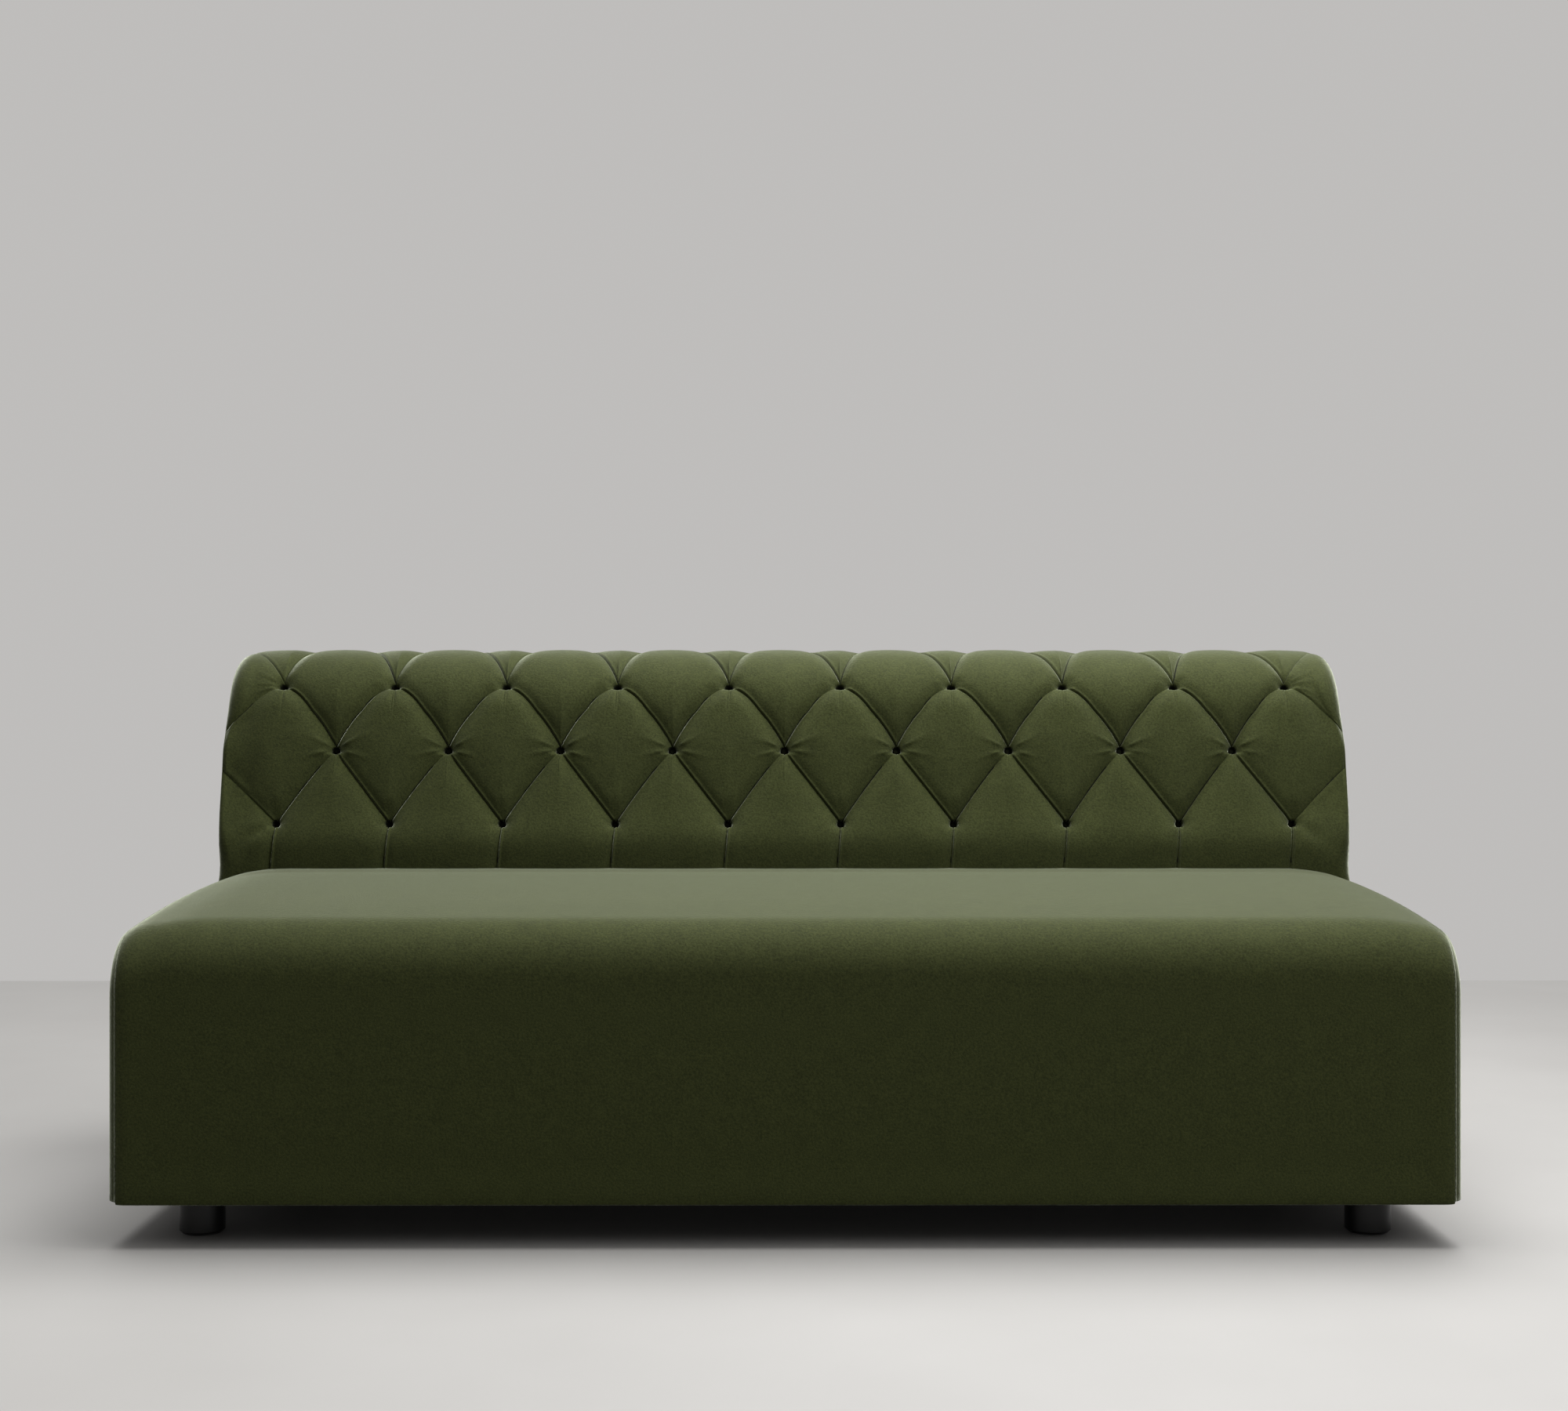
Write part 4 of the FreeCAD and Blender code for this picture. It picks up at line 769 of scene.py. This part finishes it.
features = []
turns = []
lap = np.zeros_like(along)
lap_starts = [np.where(leans_right[0], 0.03, 0.16), np.where(leans_right[1], 0.08, 0.30),
              np.full_like(share, 0.1)]
ridge_share = [np.where(leans_right[0], 0.9, 0.6), np.where(leans_right[1], 0.8, 0.6),
               np.where(leans_right[2], 0.8, 0.1)]
crease_share = [np.where(leans_right[0], 0.5, 0.5), np.where(leans_right[1], 0.5, 0.5),
                np.where(leans_right[2], 0.7, 0.6)]
faint_end = np.where(at_end, 0.45, 1.0)
# Widths and shifts of those strips of painted shade, by the way each pleat leans.
painted_crease_half = [np.where(leans_right[0], 0.0004, 0.0009), np.where(leans_right[1], 0.0004, 0.0009),
               np.where(leans_right[2], 0.0006, 0.0013)]
painted_crease_shift = [np.full_like(share, -0.6), np.full_like(share, -0.6),
                np.where(leans_right[2], -0.6, 0.7)]
LAP_FADE = 0.14
PUFF_SHARES = (1.0, 1.0, 0.6)
# Grid points in a strip along a crease, which gets the painted shade.
painted_crease_shade = np.zeros(along.shape, bool)
to_pleat = np.full(along.shape, 1.0)
for i, (line, right) in enumerate(zip(pleats, leans_right)):
    line_run = stretched(line)
    slope = np.gradient(line_run, nominal + 1e-6 * np.arange(len(nominal)))
    distance = (surface - line_run) / np.sqrt(1 + np.clip(slope, -3, 3) ** 2)
    way_down = np.clip(down_pleat[i], 0, 1)
    features.append(valley(distance, PUFF_DEPTH * PUFF_SHARES[i], WIDTH_ABOVE, WIDTH_BELOW))
    over_crest = i == 2
    steeper = 1 + 1.4 * way_down ** 5
    turn_depth = PLEAT_DEPTH * steeper * (CREST_TURN if over_crest else 1) * faint_end
    turns.append(valley(distance, turn_depth, TURN_BELOW if over_crest else TURN_ABOVE, TURN_BELOW))
    fade = smooth_step((way_down - lap_starts[i]) / LAP_FADE)
    to_pleat = np.minimum(to_pleat, np.abs(distance))
    right_way = np.where(right, distance, -distance)
    lap += lapped(right_way, ridge_share[i], crease_share[i]) * fade * faint_end
    half = painted_crease_half[i] * faint_end
    painted_crease_shade |= (np.abs(right_way - painted_crease_shift[i] * half) < half) & (fade > 0.5)
print("lines of pleats", round((PUFF_DEPTH + PLEAT_DEPTH) * 1000, 1), "mm deep between the tufts")

# %% Upright pleats below the lowest row and behind the top one
low_columns = [-LAST + k * PITCH for k in range(COLUMNS)]
high_columns = [-LAST + (k + 0.5) * PITCH for k in range(COLUMNS - 1)]


def beside(places, slant):
    """Signed distance to the right of the nearest of some columns, whose line drifts as it goes down."""
    away = np.stack([across_back - x + slant for x in places])
    nearest = np.argmin(np.abs(away), axis=0)
    return np.take_along_axis(away, nearest[None], axis=0)[0]


foot_fade = smooth_step((along + TUCK) / 0.06) * smooth_step((LOW_ROW - along) / 0.010)
rear_fade = smooth_step((along - TOP_ROW) / 0.012) * smooth_step((BACK_END - along) / 0.05)
DRIFT = 0.09
UPRIGHT_WIDTH = 0.05
foot_slant = DRIFT * (LOW_ROW - along)
# The creases of the upright pleats get strips of painted shade too.
for places, fade, slant in ((low_columns, foot_fade, foot_slant), (high_columns, rear_fade, 0)):
    right = beside(places, slant)
    features.append(valley(right, PUFF_DEPTH * 0.6 * fade, UPRIGHT_WIDTH, UPRIGHT_WIDTH))
    turns.append(valley(right, PLEAT_DEPTH * 0.8 * fade, TURN_ABOVE, TURN_ABOVE))
    lap += lapped(right, 1.7, 1.3) * fade
    painted_crease_shade |= (np.abs(right - CREASE_PLACE) < PAINTED_CREASE_HALF) & (fade > 0.5)
print(len(low_columns), "upright pleats at the foot and", len(high_columns), "behind the crest")

# %% [markdown]
# ### Tufts
# Each tuft is a small deep hole in a wider bowl that is long above and short below, because the cloth hangs
# over the twine. Valleys that meet are joined by a power mean, which is smooth where a maximum would leave
# a ridge, and what lies between the pleats is averaged along the row and filled out a little.

# %% Tufts
BOWL_DEPTH = 0.0135
BOWL_RISE = {LOW_ROW: 0.046, MID_ROW: 0.056, OPEN_ROW: 0.036, TOP_ROW: 0.040}
HOLE_DEPTH = 0.025
HOLE_WIDTH = 0.0052
# Holes deeper than this share of their depth get the painted shade.
PAINTED_SHADE_FROM = 0.006
HOLE_DROP = 0.0025
HOLE_ABOVE, HOLE_BELOW = 1.15, 0.55
BOWL_SIDE, BOWL_BELOW = 0.026, 0.009
tufts = [(x, v) for v, xs in ((LOW_ROW, low_columns), (MID_ROW, high_columns), (OPEN_ROW, low_columns),
                              (TOP_ROW, high_columns)) for x in xs]
hole = np.zeros_like(along)
bowl = np.zeros_like(along)
for x, v in tufts:
    side_way = across_back - x
    up_way = surface - stretched(np.array(v)) + HOLE_DROP
    near = np.hypot(side_way, np.where(up_way > 0, up_way / HOLE_ABOVE, up_way / HOLE_BELOW))
    above_below = np.where(up_way > 0, up_way / BOWL_RISE[v], up_way / BOWL_BELOW)
    spread = np.hypot(side_way / BOWL_SIDE, above_below)
    bowl = np.maximum(bowl, BOWL_DEPTH * np.clip(1 - spread, 0, 1) ** 1.8)
    hole = np.maximum(hole, HOLE_DEPTH * np.exp(-(near / HOLE_WIDTH) ** 4))
POWER = 4.0
soft = sum(f ** POWER for f in features) ** (1 / POWER)


def evened(values, spread):
    """The values of each row, averaged over a distance across the back."""
    even_x = np.arange(-HALF, HALF + 0.0005, 0.001)
    reach = np.arange(-3 * spread, 3 * spread + 0.0005, 0.001)
    weights = np.exp(-(reach / spread) ** 2 / 2)
    weights = weights / weights.sum()
    side = len(reach) // 2
    rows = []
    for row_x, row in zip(across_back, values):
        order = np.argsort(row_x, kind="stable")
        even = np.pad(np.interp(even_x, row_x[order], row[order]), side, mode="edge")
        rows.append(np.interp(row_x, even_x, np.convolve(even, weights, "valid")))
    return np.array(rows)


off_pleat = smooth_step((to_pleat - 0.002) / 0.012)
soft = soft + (evened(soft, 0.012) - soft) * off_pleat
turned_in = np.max(turns, axis=0)
soft = soft + (turned_in ** POWER + bowl ** POWER) ** (1 / POWER)
calm = np.clip(1 - hole / HOLE_DEPTH * 2, 0, 1)
PUFF = 0.0030
on_face = smooth_step((along + 0.03) / 0.05) * smooth_step((0.36 - along) / 0.08)
plump = PUFF * np.clip(1 - soft / 0.008, 0, 1) ** 2 * on_face
toward_seam = smooth_step((end_depth / end_radius - 0.15) / 0.85)
depth = (soft - plump + lap * calm) * (1 - 0.85 * toward_seam) + hole
print(len(tufts), "tufts, deepest", round(float(depth.max()) * 1000, 1), "mm")

# %% [markdown]
# ### Wrinkles
# Where the cloth is pulled tight, faint ridges run out from the tufts and die away. Bump would draw them in
# the finish only, so they are moved in the mesh, with a seeded random draw that makes each one different.

# %% Wrinkles that run out from the tufts
random = np.random.default_rng(7)


def wrinkle(x, v, degrees, length, height, start=0.011, narrow=0.0017):
    """A faint ridge that leaves a tuft at an angle, curves a little, widens and dies out."""
    angle = math.radians(degrees)
    side_way = across_back - x
    up_way = surface - stretched(np.array(v))
    out = side_way * math.cos(angle) + up_way * math.sin(angle)
    off = -side_way * math.sin(angle) + up_way * math.cos(angle)
    off = off + np.sign(math.cos(angle)) * 1.2 * np.clip(out, 0, length) ** 2
    width = narrow + 0.020 * np.clip(out, 0, length)
    rise = smooth_step((out - start) / 0.008) * np.clip((length - out) / (length - start), 0, 1)
    return height * rise * np.exp(-(off / width) ** 2)


for x, v in tufts:
    if v == MID_ROW:
        for degrees in (28, -10, 152, 190):
            length = random.uniform(0.052, 0.068)
            turned = degrees + random.uniform(-4, 4)
            depth = depth - wrinkle(x, v, turned, length, random.uniform(0.0021, 0.0031))
        if random.uniform() < 0.5:
            depth = depth - wrinkle(x, v, 90, 0.065, 0.0016, 0.02)
            depth = depth - wrinkle(x, v, -92, 0.045, 0.0013, 0.014)
    elif abs(x) == LAST and v == OPEN_ROW:
        for degrees in (150, 172, 196):
            turned = degrees if x < 0 else 180 - degrees
            depth = depth - wrinkle(x, v, turned + random.uniform(-4, 4), 0.07, 0.0012)
    elif abs(x) == LAST and v == LOW_ROW:
        turned = 206 if x < 0 else -26
        depth = depth + wrinkle(x, v, turned, 0.16, 0.0055, 0.014, 0.0045)
        for degrees in (8, 172):
            depth = depth - wrinkle(x, v, degrees, 0.05, 0.0010)
    elif v != TOP_ROW:
        for degrees in (12, 168):
            depth = depth - wrinkle(x, v, degrees + random.uniform(-6, 6), 0.045, 0.0004)
print("wrinkled, shallowest", round(float(depth.min()) * 1000, 1), "mm")

# %% [markdown]
# ### Keeping the cloth above the wadding
# The wadding under the cover is a solid part that must not show through. A shrinkwrap would pull the whole
# cloth onto it, so a ray from outside finds how deep it lies under each vertex, and only cloth that has sunk
# too far is lifted.

# %% Keep the cloth above the wadding
ABOVE_WADDING = 0.0020
wadding = bmesh.new()
for name in ("back_batting", "left_back_padding", "right_back_padding", "back_foam"):
    wadding.from_mesh(nodes[name].data)
wadding_tree = BVHTree.FromBMesh(wadding)
wadding.free()
RAY_START, RAY_REACH, RAY_STEP = -0.03, 0.12, 0.01
ray_points = back_spot(across_back, along, end_depth + RAY_START)
aim = back_spot(across_back, along, end_depth + RAY_START + RAY_STEP) - ray_points
aim = aim / np.linalg.norm(aim, axis=2, keepdims=True)
lifted = []
for row in range(along.shape[0]):
    for column in range(along.shape[1]):
        spot, way = Vector(ray_points[row, column]), Vector(aim[row, column])
        hit = wadding_tree.ray_cast(spot, way, RAY_REACH)[3]
        if hit is not None and depth[row, column] > hit + RAY_START - ABOVE_WADDING:
            lifted.append(depth[row, column] - (hit + RAY_START - ABOVE_WADDING))
            depth[row, column] -= lifted[-1]
print(len(lifted), "vertices lifted off the wadding, by up to", round(max(lifted + [0]) * 1000, 1), "mm")

# %% [markdown]
# ### The finished cover
# The cover's foot is full and turns under towards the seat, and its rear edge is turned in under the roll.
# The bottoms of the holes and the creases get a darker cloth without sheen, which paints the shade that falls
# there.

# %% The tufted cover
BELLY, TURN_UNDER = 0.0035, 0.006
REAR_HEM = (0.006, 0.016)
depth -= BELLY * np.exp(-((along - 0.050) / 0.030) ** 2)
depth += TURN_UNDER * smooth_step((0.045 - along) / 0.055)
depth[-2] += REAR_HEM[0]
depth[-1] += REAR_HEM[1]
tuft_points = back_spot(across_back, along, depth + end_depth)
tuft_bm = bent_grid(tuft_points)
# Faces in the holes and along the creases get the darker cloth: painted shade.
painted_shade_places = (hole > PAINTED_SHADE_FROM * HOLE_DEPTH) | painted_crease_shade
tufted_back = add_piece("tufted_back", tuft_bm, cloth_finish)
tufted_back.data.materials.append(painted_shade_finish)
painted_shade_faces = (painted_shade_places[:-1, :-1] & painted_shade_places[1:, 1:]).ravel()
tufted_back.data.polygons.foreach_set("material_index", painted_shade_faces.astype(int))
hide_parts("tufted_back_cover")

# %% [markdown]
# ## Buttons
# A button covered in the same cloth sits at the bottom of each tuft, deep enough to be lost in the dark, and
# it wears the darker cloth without sheen, which paints that shade. A sphere pressed flat along the tuft's
# direction is all that such a button needs.

# %% Covered buttons at the bottom of the tufts
BUTTON_TOP, BUTTON_REST, BUTTON_RADIUS = 0.0225, 0.026, 0.005
buttons = bmesh.new()
for x, v in tufts:
    v = HIGH_ROW if v == OPEN_ROW else v
    crown = Vector(back_spot(x, np.array(v), np.array(BUTTON_TOP)))
    under = Vector(back_spot(x, np.array(v), np.array(BUTTON_REST)))
    made = bmesh.ops.create_uvsphere(buttons, u_segments=14, v_segments=8, radius=BUTTON_RADIUS)["verts"]
    bmesh.ops.scale(buttons, verts=made, vec=(1, 1, (under - crown).length / 2 / BUTTON_RADIUS))
    turned = (crown - under).to_track_quat("Z", "Y").to_matrix()
    bmesh.ops.rotate(buttons, verts=made, cent=(0, 0, 0), matrix=turned)
    bmesh.ops.translate(buttons, verts=made, vec=(crown + under) / 2)
# The buttons wear the darker cloth without sheen: painted shade.
button_caps = add_piece("covered_buttons", buttons, painted_shade_finish)
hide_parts("tuft_buttons")

# %% [markdown]
# ## Ends of the back
# The ends of the back are flat cloth panels that meet the tufted cover at a seam. They are made like the
# sides of the seat, from rings: the first laps under the cover, so that no wadding shows in the seam, and the
# others shrink towards the middle. An inset would do on a simple outline, but folds over on this one.

# %% End panels
REAR = ROLL_DEEP + ROLL - OVERHANG
FLANGE = 0.025
EDGE_SPACING = 0.005
END_CENTRE = np.array([0.69, 0.40])
LAP, UNDER_COVER = 0.005, 0.0018
END_FRONT = SEAT_DEPTH - 0.0006
SEAM_FROM = -0.0375
end_steps = ((-0.0014, 0.0), (-0.0004, 0.004), (0.0002, 0.012), (0.0010, 0.03), (0.0015, 0.08), (0.0018, 0.2),
             (0.0018, 0.4), (0.0018, 0.7))


def spaced(points):
    """A line through the points with even spacing."""
    points = np.array(points)
    run = np.concatenate([[0], np.cumsum(np.linalg.norm(np.diff(points, axis=0), axis=1))])
    at = np.linspace(0, run[-1], max(2, round(run[-1] / EDGE_SPACING) + 1))
    return np.stack([np.interp(at, run, points[:, k]) for k in range(2)], axis=1)


def end_outline(seam):
    """The closed outline of the back's end, as (deep, height), along the edge of the tufted cover."""
    front, rear = END_FRONT, REAR - REAR_CORNER
    curve = np.stack([seam[:, 1] - FRONT_Y, seam[:, 2]], axis=1)[seam_rows]
    down = [curve[-1], (rear, curve[-1][1] - 0.006), (rear, SEAT_LOW)]
    under = [(rear, SEAT_LOW), (front, SEAT_LOW)]
    up = [(front, SEAT_LOW), (front, curve[0][1] - 0.0005), curve[0]]
    return np.concatenate([spaced(line)[:-1] for line in (curve, down, under, up)])


def end_rings(side, seam):
    """Rings from a lap under the cover to the middle of the panel, with a slight swell."""
    outline = end_outline(seam)
    away = outline - END_CENTRE
    lap_edge = outline + LAP * away / np.linalg.norm(away, axis=1, keepdims=True)
    lap_edge[:, 1] = np.maximum(lap_edge[:, 1], SEAT_LOW)
    turned_under = np.where(outline[:, 1] < SEAT_LOW + 0.0001, -FLANGE, -UNDER_COVER)
    steps = [(turned_under, lap_edge)]
    steps += [(out, outline + (END_CENTRE - outline) * shrink) for out, shrink in end_steps]
    placed = []
    for out, moved in steps:
        ring = np.zeros((len(outline), 3))
        ring[:, 0] = side * (HALF + out)
        ring[:, 1] = FRONT_Y + moved[:, 0]
        ring[:, 2] = moved[:, 1]
        placed.append(ring)
    return placed


cover_rows = len(along) - HEM_ROWS
seam_rows = along[:cover_rows, 0] > SEAM_FROM
for side, word, column in ((-1, "left", 0), (1, "right", -1)):
    bm = faced(ringed_panel(end_rings(side, tuft_points[:cover_rows, column])), (side, 0, 0))
    panel = add_piece(f"{word}_back_end_panel", bm, cloth_finish)
    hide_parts(f"{word}_back_facing")

# %% [markdown]
# ## Outside back
# The outside back is one plain panel over a thin board. Its grid runs round both rear corners to the ends of
# the back, and its upper and lower rows are turned in as a hem.

# %% Outside back panel
OUTSIDE_COLUMNS, OUTSIDE_ROWS, OUTSIDE_MARGIN = 60, 24, 0.03
LOW_HEM, HIGH_HEM = 0.0012, 0.008
outside_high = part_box("outside_back_cover")[1]
turn_angles = np.radians(np.linspace(0, 90, 5))
edge_x = HALF - REAR_CORNER + REAR_CORNER * np.sin(turn_angles)
edge_y = outside_high.y - REAR_CORNER + REAR_CORNER * np.cos(turn_angles)
edge_x = np.append(edge_x, HALF - FLANGE)
edge_y = np.append(edge_y, edge_y[-1] - 0.0004)
open_x = np.linspace(-HALF + OUTSIDE_MARGIN, HALF - OUTSIDE_MARGIN, OUTSIDE_COLUMNS)
open_z = np.linspace(SEAT_LOW + 0.02, outside_high.z, OUTSIDE_ROWS)
outside_x = np.concatenate([-edge_x[::-1], open_x, edge_x])
outside_y = np.concatenate([edge_y[::-1], np.full(OUTSIDE_COLUMNS, outside_high.y), edge_y])
outside_z = np.concatenate([[SEAT_LOW + 0.001, SEAT_LOW + 0.004], open_z, [outside_high.z + 0.006]])
outside_points = np.zeros((len(outside_z), len(outside_x), 3))
outside_points[..., 0] = outside_x
outside_points[..., 1] = outside_y
outside_points[..., 2] = outside_z[:, None]
outside_points[0, :, 1] -= LOW_HEM
outside_points[-1, :, 1] -= HIGH_HEM
outside_bm = faced(bent_grid(outside_points), (0, 1, 0))
outside = add_piece("outside_back_panel", outside_bm, cloth_finish)
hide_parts("outside_back_cover")

# %% [markdown]
# ## Finishes of the solid parts
# The feet are turned and lacquered black. What is inside or under the sofa keeps its solid shape and gets
# the finish of its stuff: birch plywood, foam, white wadding, twine, wire, zinc-plated steel and plastic.


# %% Finishes
PATTERN_LOW, PATTERN_HIGH = 0.3, 0.7


def simple_finish(name, dark, pale, scale, roughness, stretch=(1, 1, 1), metal=0.0, relief=0.2,
                  distance=0.0005, gloss=0.5):
    """A finish of one pattern that drives colour, roughness and relief."""
    material, tree, shader = new_material(name)
    place = object_place(tree, stretch)
    pattern = noise(tree, place, scale, 4.0)
    tone = ramp(tree, pattern, [(PATTERN_LOW, dark), (PATTERN_HIGH, pale)])
    tree.links.new(tone, shader.inputs["Base Color"])
    rough = ramp(tree, pattern, [(PATTERN_LOW, roughness[:1]), (PATTERN_HIGH, roughness[1:])])
    tree.links.new(rough, shader.inputs["Roughness"])
    shader.inputs["Metallic"].default_value = metal
    shader.inputs["Specular IOR Level"].default_value = gloss
    bumped(tree, shader, pattern, relief, distance)
    return material


finishes = {
    "black_wood": simple_finish("black_lacquer", (0.003, 0.003, 0.003), (0.006, 0.006, 0.0055), 60,
                                (0.34, 0.44), (1, 1, 0.12), relief=0.06, gloss=0.3),
    "plywood": simple_finish("birch_plywood", (0.42, 0.27, 0.13), (0.58, 0.42, 0.24), 40, (0.6, 0.75),
                             (0.12, 1, 1), relief=0.15),
    "foam": simple_finish("foam", (0.72, 0.62, 0.32), (0.84, 0.75, 0.45), 260, (0.9, 1.0),
                          relief=0.5, distance=0.001),
    "batting": simple_finish("wadding", (0.74, 0.74, 0.72), (0.86, 0.86, 0.84), 90, (0.9, 1.0),
                             relief=0.6, distance=0.002),
    "dust_cloth": simple_finish("dust_cloth", (0.010, 0.010, 0.011), (0.022, 0.022, 0.024), 420,
                                (0.85, 0.95), relief=0.4),
    "twine": simple_finish("waxed_twine", (0.52, 0.46, 0.34), (0.66, 0.60, 0.48), 900, (0.5, 0.7)),
    "spring_steel": simple_finish("spring_wire", (0.24, 0.24, 0.25), (0.34, 0.34, 0.35), 120, (0.3, 0.45),
                                  metal=1.0, relief=0.05),
    "zinc_steel": simple_finish("zinc_plate", (0.50, 0.50, 0.52), (0.62, 0.62, 0.64), 80, (0.32, 0.5),
                                metal=1.0, relief=0.05),
    "black_plastic": simple_finish("black_plastic", (0.012, 0.012, 0.012), (0.02, 0.02, 0.02), 300,
                                   (0.45, 0.6), relief=0.1),
    "olive_fabric": cloth_finish,
}
print("finishes:", ", ".join(finishes))

# %% [markdown]
# ## The cloth under the base
# A thin black cloth is stapled under the frame to keep dust out. It is stretched along its edge and hangs
# a little in the middle, so a grid is pushed down by a few millimetres away from its border.

# %% Bottom cloth
SAG = 0.005
CLEAR_BORDER, SAG_FADE = 0.10, 0.25
DUST_COLUMNS, DUST_ROWS = 121, 57
dust_low, dust_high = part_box("dust_cover")
dust_x = np.linspace(dust_low.x, dust_high.x, DUST_COLUMNS)
dust_y = np.linspace(dust_low.y, dust_high.y, DUST_ROWS)
away_x = smooth_step((np.minimum(dust_x - dust_low.x, dust_high.x - dust_x) - CLEAR_BORDER) / SAG_FADE)
away_y = smooth_step((np.minimum(dust_y - dust_low.y, dust_high.y - dust_y) - CLEAR_BORDER) / SAG_FADE)
dust_points = np.zeros((len(dust_y), len(dust_x), 3))
dust_points[..., 0] = dust_x
dust_points[..., 1] = dust_y[:, None]
dust_points[..., 2] = (dust_low.z + dust_high.z) / 2 - SAG * away_y[:, None] * away_x
dust_bm = faced(bent_grid(dust_points), (0, 0, -1))
bottom_cloth = add_piece("bottom_cloth", dust_bm, finishes["dust_cloth"])
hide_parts("dust_cover")

# %% Finish every solid part
slot_of = {part["node"]: part["material_slot"] for part in frame["record"]["subparts"]}
for name, node in nodes.items():
    node.data.materials.clear()
    node.data.materials.append(finishes[slot_of[name]])
print("finished", len(nodes), "solid parts")
